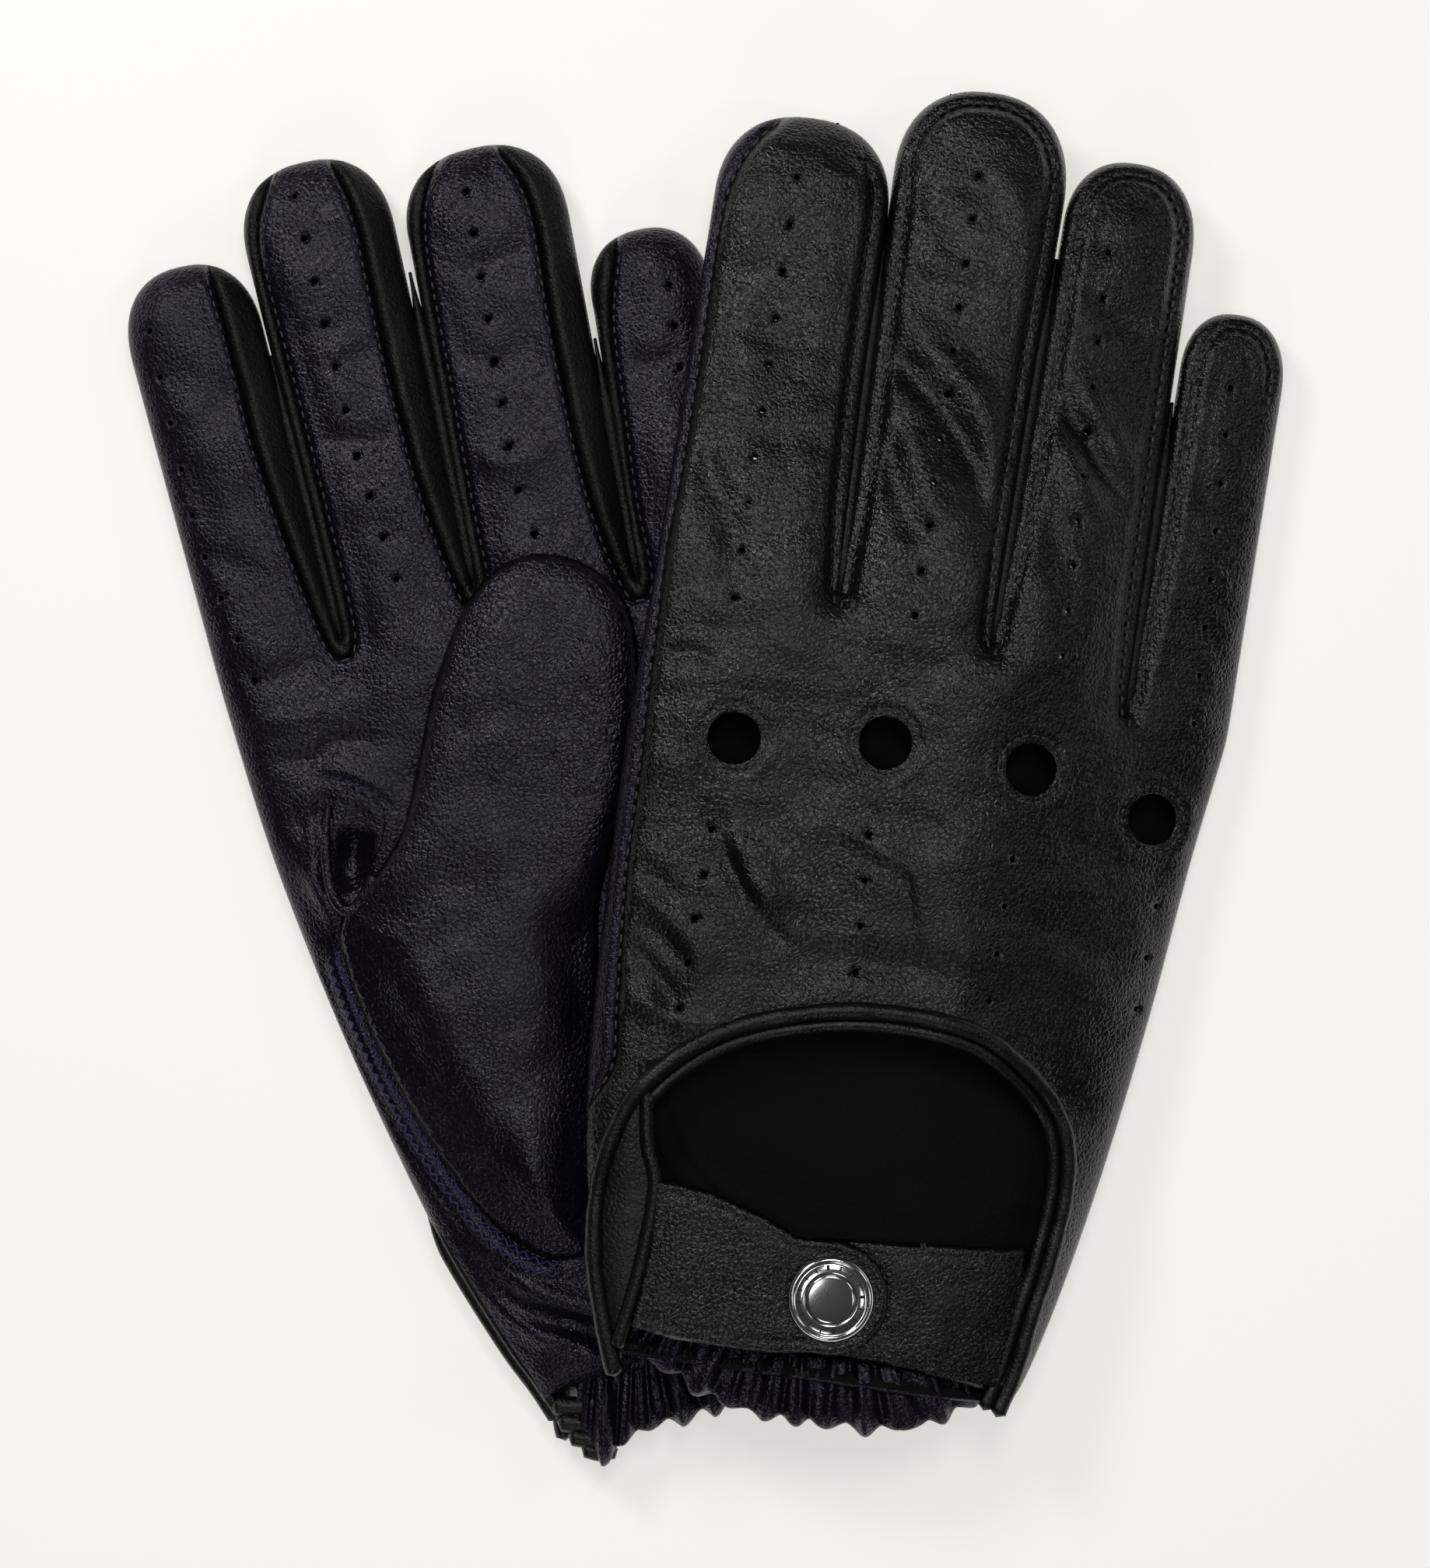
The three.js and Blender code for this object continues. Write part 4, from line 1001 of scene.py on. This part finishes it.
def lathe(name, side, profile, mats, body, slot, n=72):
    """Rings of (radius, depth, material) about the snap's axis."""
    b = base_height(side, np.array(SNAP[0]), np.array(SNAP[1]))
    V, F, fm = [], [], []
    a = 2 * np.pi * np.arange(n) / n
    for r, d, _ in profile:
        P = np.c_[SNAP[0] + r * np.cos(a), SNAP[1] + r * np.sin(a)]
        V.append(world(side, P, float(b + (10.5 - d if side == "left" else d))))
    V = np.vstack(V)
    for k in range(len(profile) - 1):
        for j in range(n):
            q = [k * n + j, k * n + (j + 1) % n, (k + 1) * n + (j + 1) % n, (k + 1) * n + j]
            F.append(q[::-1] if side == "left" else q)
            fm.append(profile[k][2])
    return make(name, V, F, mats, body, fm, slot=slot)


def snap(side):
    prof = [(0.02, 10.95, 0), (6.4, 10.95, 0), (7.3, 11.0, 0), (7.65, 11.25, 0), (7.75, 11.6, 0),
            (7.6, 12.0, 0), (7.25, 12.3, 0), (6.95, 12.38, 0), (6.75, 12.3, 0), (6.6, 12.05, 0),
            (6.2, 12.22, 0), (5.6, 12.38, 0), (5.0, 12.46, 0), (4.75, 12.45, 0), (4.62, 12.3, 1),
            (4.5, 12.2, 1), (4.4, 12.3, 0), (4.25, 12.46, 0), (3.9, 12.5, 0), (3.0, 12.56, 0),
            (1.5, 12.6, 0), (0.02, 12.6, 0)]
    mats = [M["chrome"], M["dark"]]
    ob = lathe(side + "_snap_cap_face", side, prof, mats, side + "_strap_part", "snap_chrome")
    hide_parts(side + "_snap_cap")
    V, F = [], []
    b = float(base_height(side, np.array(SNAP[0]), np.array(SNAP[1])))
    z = lambda d: b + (10.5 - d if side == "left" else d)
    for k in range(16):
        t = 2 * np.pi * (k + 0.5) / 16
        er, et = np.array([np.cos(t), np.sin(t)]), np.array([-np.sin(t), np.cos(t)])
        w, h = (0.16, 0.62) if k % 4 else (0.3, 0.62)
        c = np.array(SNAP) + er * 5.62
        P = np.array([c - et * w - er * h, c + et * w - er * h, c + et * w + er * h, c - et * w + er * h])
        n0 = len(V)
        V += world(side, P, z(12.0)).tolist() + world(side, P, z(12.42)).tolist()
        for q in ((0, 1, 2, 3), (7, 6, 5, 4), (0, 4, 5, 1), (1, 5, 6, 2), (2, 6, 7, 3), (3, 7, 4, 0)):
            F.append([n0 + i for i in q])
    make(side + "_snap_marks", V, F, [M["dark"]], side + "_strap_part", None, False, "snap_chrome")


def gathered_hem(side, edge, depth, tall=13.0, seed=4, swell=1.0):
    """The hem drawn up by its elastic: a fat rolled band pleated across."""
    P = spline(edge, 0.32)
    n = len(P)
    s = np.arange(n) * 0.32
    rng = np.random.RandomState(seed)
    width = np.interp(s, np.linspace(0, s[-1], 18), rng.uniform(4.4, 9.2, 18))
    phase = np.cumsum(2 * np.pi * 0.32 / width)
    size = np.interp(s, np.linspace(0, s[-1], 22), rng.uniform(0.45, 1.5, 22))
    lean = np.interp(s, np.linspace(0, s[-1], 14), rng.uniform(-1.3, 1.3, 14))
    centre = np.array([(P[0, 0] + P[-1, 0]) / 2, 62.0])
    n_in = centre - P
    n_in /= np.linalg.norm(n_in, axis=1)[:, None]
    end = smooth(0, 4, s) * smooth(0, 4, s[-1] - s)
    sides = 40
    V = []
    for j in range(sides):
        a = 2 * np.pi * j / sides
        c, sn = np.cos(a), np.sin(a)
        q = 0.5 * (1 + c)
        ph = phase + lean * (q - 0.2) * 2.2
        rr = (0.5 + 0.5 * np.cos(ph)) ** 0.7 * size
        fine = 0.16 * np.cos(2.3 * ph + 3 * q)
        lobe = 1.7 * (1 - q) ** 1.5 * (rr - 0.45)
        uv = P + n_in * (q * tall - lobe * end)[:, None]
        half = (2.6 - 0.5 * q) * np.sign(sn) * abs(sn) ** 0.7
        z = depth + swell * half * (0.52 + (0.80 * rr + fine) * (1 - 0.25 * q)) * (0.4 + 0.6 * end)
        V.append(world(side, uv, np.maximum(at_depth(side, uv, z), 0.3)))
    V = np.array(V).transpose(1, 0, 2).reshape(-1, 3)
    F = []
    for i in range(n - 1):
        for j in range(sides):
            k = (j + 1) % sides
            F.append((i * sides + j, i * sides + k, (i + 1) * sides + k, (i + 1) * sides + j))
    F.append(list(range(sides))[::-1])
    F.append([(n - 1) * sides + j for j in range(sides)])
    if side == "right":
        F = [f[::-1] for f in F]
    ob = make(side + "_gathered_hem", V, F, [M["palm"]], side + "_glove", slot="palm_leather")
    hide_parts(side + "_hem_casing")
    Q = P[8:-8:4] + n_in[8:-8:4] * 6.2
    band = tube(side + "_elastic_band", world(side, Q, at_depth(side, Q, depth)), 3.0, M["elastic"],
                side + "_glove",
                "elastic_webbing", 12, 0.16)
    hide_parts(side + "_hem_elastic")
    return ob


def thumb(side):
    """The thumb and its heel, one sewn leather tube; it stands off the palm's face."""
    s = -1 if side == "right" else 1
    outline = spline(THUMB_LEFT + THUMB_RIGHT + THUMB_SEAM, 0.9, True)[::-1]
    fold = (lambda P: P[:, 1] - (97 - 0.2 * (P[:, 0] + 44.5)))
    V, T = triangulate(outline, (), (), (), 0.95)
    D = dist(V, outline, True)[0]
    above = smooth(-2, 14, fold(V))
    over = 0.55
    tall = 6.1 * (1 - 0.12 * smooth(120, 160, V[:, 1]))
    lo, hi = 0.35, over + tall
    q = 0.46 * above
    t1 = np.clip(D / 8.5, 0, 1)
    t2 = np.clip(D / 15.0, 0, 1)
    heel = 0.5 * (1 - np.cos(np.pi * t2)) * 0.8 + 0.2 * np.sqrt(1 - (1 - np.clip(D / 4, 0, 1)) ** 2)
    prof = above * np.sqrt(1 - (1 - t1) ** 2) + (1 - above) * heel
    level = UP if side == "left" else DOWN
    r = lo + (hi - lo) * q
    soft = smooth(2, 8, D)
    body_noise = soft * (0.62 * noise(V, 26, 61) + 0.44 * noise(V, 12, 62) + 0.14 * noise(V, 5.5, 63))
    crease = 0
    for L, w, a in THUMB_FOLDS:
        L = spline(L, 0.8)
        d, sl = dist(V, L)[:2]
        n = np.hypot(*np.diff(L, axis=0).T).sum()
        fade = np.sin(np.pi * np.clip(sl / n, 0.02, 0.98)) ** 0.7
        crease = crease + soft * a * fade * np.exp(-(d / w) ** 2)
    top = r + (hi - r) * prof + body_noise + crease
    bottom = r - (r - lo) * np.sqrt(1 - (1 - t1) ** 2)
    b = base_height(side, V[:, 0], V[:, 1]) + MID
    zt, zb = b + s * (level + top), b + s * (level + bottom)
    X = np.vstack([world(side, V, zt), world(side, V, zb)])
    F = two_faces(T, len(V))
    if s < 0:
        F = [f[::-1] for f in F]
    body = None if side == "left" else side + "_glove"
    ob = make(side + "_thumb_leather", *used_only(X, F), [M["palm"]], body, slot="palm_leather")
    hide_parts(side + "_thumb", side + "_thumb_heel")
    if side == "left":
        a, c = fold_ends(-3.5), fold_ends(4.5)
        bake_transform(ob)
    return ob


THUMB_FOLDS = [
    ([(-40, 92), (-30, 92), (-18, 96)], 3.0, -0.45),
    ([(-42, 84), (-30, 80), (-14, 82)], 4.0, 0.4),
    ([(-36, 62), (-24, 60), (-12, 66)], 4.0, -0.4),
    ([(-24, 122), (-12, 126), (2, 123)], 3.0, 0.3),
    ([(-18, 136), (-6, 139), (8, 136)], 3.0, -0.3),
]


def fold_ends(shift):
    """A point on the thumb's swing axis, moved across it by shift mm."""
    p = np.array([(-65.73 - 19.86) / 2, (-28.31 - 26.96) / 2])
    d = np.array([-19.86 + 65.73, -26.96 + 28.31])
    d /= np.linalg.norm(d)
    n = np.array([-d[1], d[0]])
    q = (p + n * shift) / 1000
    return (float(q[0]), float(q[1]), 0.0175)


back_r, palm_r = glove("right")
back_l, palm_l = glove("left")
opening_and_strap("right", back_r)
opening_and_strap("left", back_l)
gathered_hem("right", [(-38.7, 2.0), (-30.2, -2.1), (-21.4, -6.4), (-14.6, -8.4), (-0.2, -8.9),
                       (13.4, -8.2), (21.2, -5.6), (26.6, -1.9), (33.0, 0.4)], 2.5)
gathered_hem("left", [(-25.0, 0.0), (-20.6, -8.2), (-17.0, -6.2), (-10.8, -4.6), (2.7, -3.8), (12, -3.0),
                      (21, -1.6), (28.0, 3.0)], 2.9, 16.5, 8, 1.15)
thumb("left")
thumb("right")


def left_corner():
    """The left glove's lower corner: the back's black binding and the stack of turned hem ends."""
    edge = spline([(-44.4, 49.5), (-42.4, 41), (-39.8, 32), (-36.8, 23), (-33.5, 14), (-30.4, 7),
                   (-28.2, 1)], 0.8)
    z = at_depth("left", edge, 6.4)
    taper = 0.35 + 0.65 * smooth(0, len(edge) * 0.3, np.arange(len(edge)))
    tube("left_back_edge_binding", world("left", edge + (1 - taper)[:, None] * (2.2, 0.6), z), 1.5 * taper,
         M["binding"],
         "left_glove", "binding_leather")
    z = at_depth("left", edge, 3.9)
    tube("left_back_edge_seam", world("left", edge + (1.3, 0.3), z), 1.1 * taper, M["binding"], "left_glove",
         "binding_leather")
    for k, (a, b, r) in enumerate((((-27.3, 3.4), (-19.5, 2.4), 1.9), ((-26.9, 0.2), (-19.0, -1.2), 1.9),
                                   ((-25.6, -3.0), (-18.8, -4.4), 1.8),
                                   ((-23.8, -5.9), (-19.0, -7.2), 1.6))):
        L = spline([a, ((a[0] + b[0]) / 2, (a[1] + b[1]) / 2 - 0.6), b], 0.6)
        z = at_depth("left", L, 3.4 + 0.3 * k)
        tube(f"left_hem_fold_{k + 1}", world("left", L, z), r, M["binding"], "left_glove", "binding_leather")


def quirk():
    """The little gusset in the crook of the thumb and the rolled edge that loops round its hollow."""
    poly = np.array([(-42.8, 124.5), (-37.5, 121.8), (-32.6, 116.8), (-35.2, 111), (-39.6, 107.6),
                     (-43.4, 106.5), (-44.6, 113)])
    lo = lambda P: palm_l.z(P) - 0.9
    hi = lambda P: palm_l.z(P) + 0.25
    ob = pillow("left_thumb_gusset", "left", resample(poly, 0.7, True), lo, hi, M["palm"], "left_glove",
                0.9, 0.8,
                slot="palm_leather")
    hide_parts("left_thumb_quirk")
    poly = np.array([(-42.8, 121), (-33, 114), (-40, 106)])
    side_lo = lambda P: palm_r.z(P) - 0.5
    side_hi = lambda P: palm_r.z(P) + 0.3
    ob = pillow("right_thumb_gusset", "right", resample(poly, 0.7, True), side_lo, side_hi, M["palm"],
                "right_glove", 0.5,
                0.9, slot="palm_leather")
    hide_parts("right_thumb_quirk")
    L = spline([(-43.2, 121.0), (-44.6, 117), (-45.9, 111), (-46.2, 105.4), (-44.8, 101.8), (-42.6, 101.4),
                (-40.3, 103.3), (-37.8, 106.2)], 0.5)
    z = UP + MID + 0.45 + np.linspace(0, 1.9, len(L)) ** 1.2
    z = z + base_height("left", L[:, 0], L[:, 1])
    radius = np.interp(np.arange(len(L)), [0, len(L) * 0.3, len(L)], [0.5, 1.05, 1.3])
    tube("left_thumb_crook_roll", world("left", L, z), radius, M["palm"], "left_glove", "palm_leather")
    a, b = stitch_line(palm_l, spline([(-43.6, 126), (-39, 123.6), (-34.8, 120.4), (-31.4, 116)], 0.6), 1.9,
                       0.6, 0.3, 0.9)
    capsules("left_gusset_stitches", a, b, 0.00022, M["navy"], "left_glove", "palm_leather")


left_corner()
quirk()

# ---------------------------------------------------------------- hardware kept from the CAD, finished
for side in ("left", "right"):
    for part in ("snap_socket", "snap_stud", "snap_eyelet"):
        ob = bpy.data.objects.get(f"{side}_{part}")
        if ob is not None:
            ob.data.materials.clear()
            ob.data.materials.append(M["steel"])

# ---------------------------------------------------------------- floor, light and camera
scene = bpy.context.scene
scene.view_settings.view_transform = "Standard"
bpy.ops.mesh.primitive_plane_add(size=6.0, location=(0, 0, -0.0004))
floor = bpy.context.object
floor.name = "floor"
paper = plain("floor_paper", (0.93, 0.92, 0.88), 0.95)
paper.node_tree.nodes["Principled BSDF"].inputs["Emission Color"].default_value = (1.0, 0.985, 0.94, 1)
paper.node_tree.nodes["Principled BSDF"].inputs["Emission Strength"].default_value = 0.545
floor.data.materials.append(paper)

w = bpy.data.worlds.new("studio")
scene.world = w
w.use_nodes = True
w.node_tree.nodes["Background"].inputs["Color"].default_value = (1.0, 0.99, 0.965, 1)
w.node_tree.nodes["Background"].inputs["Strength"].default_value = 0.035


def area(name, place, size, power, target, height=None):
    d = bpy.data.lights.new(name, "AREA")
    d.shape = "RECTANGLE"
    d.size, d.size_y = size, height or size
    d.energy = power
    ob = bpy.data.objects.new(name, d)
    ob.location = place
    v = Vector(target) - Vector(place)
    ob.rotation_euler = v.to_track_quat("-Z", "Y").to_euler()
    scene.collection.objects.link(ob)


# name, place, size, watts, target, height where it isn't square
LIGHTS = (
    ("top_softbox", (0.075, 0.30, 0.88), 0.19, 1.20, (0.05, 0.14, 0), 0.30),
    ("palm_softbox", (-0.13, -0.06, 0.90), 0.16, 0.40, (-0.06, -0.03, 0)),
    ("tab_softbox", (0.42, -0.19, 0.82), 0.14, 0.26, (0.07, -0.09, 0)),
    ("rim_light", (-0.38, 0.44, 0.60), 0.20, 1.25, (0, 0.02, 0)),
    ("right_rim_light", (0.58, 0.20, 0.52), 0.20, 0.25, (0.02, 0, 0)),
    ("front_rim_light", (-0.1, -0.62, 0.50), 0.20, 0.40, (0, -0.06, 0)),
)
for light in LIGHTS:
    area(*light)

cam_data = bpy.data.cameras.new("camera")
cam_data.lens = 100
cam_data.sensor_fit = "VERTICAL"
cam_data.sensor_height = 36
cam_data.clip_start = 0.01
cam = bpy.data.objects.new("camera", cam_data)
cam.location = (0.0019, -0.0026, 0.8156)
scene.collection.objects.link(cam)
scene.camera = cam
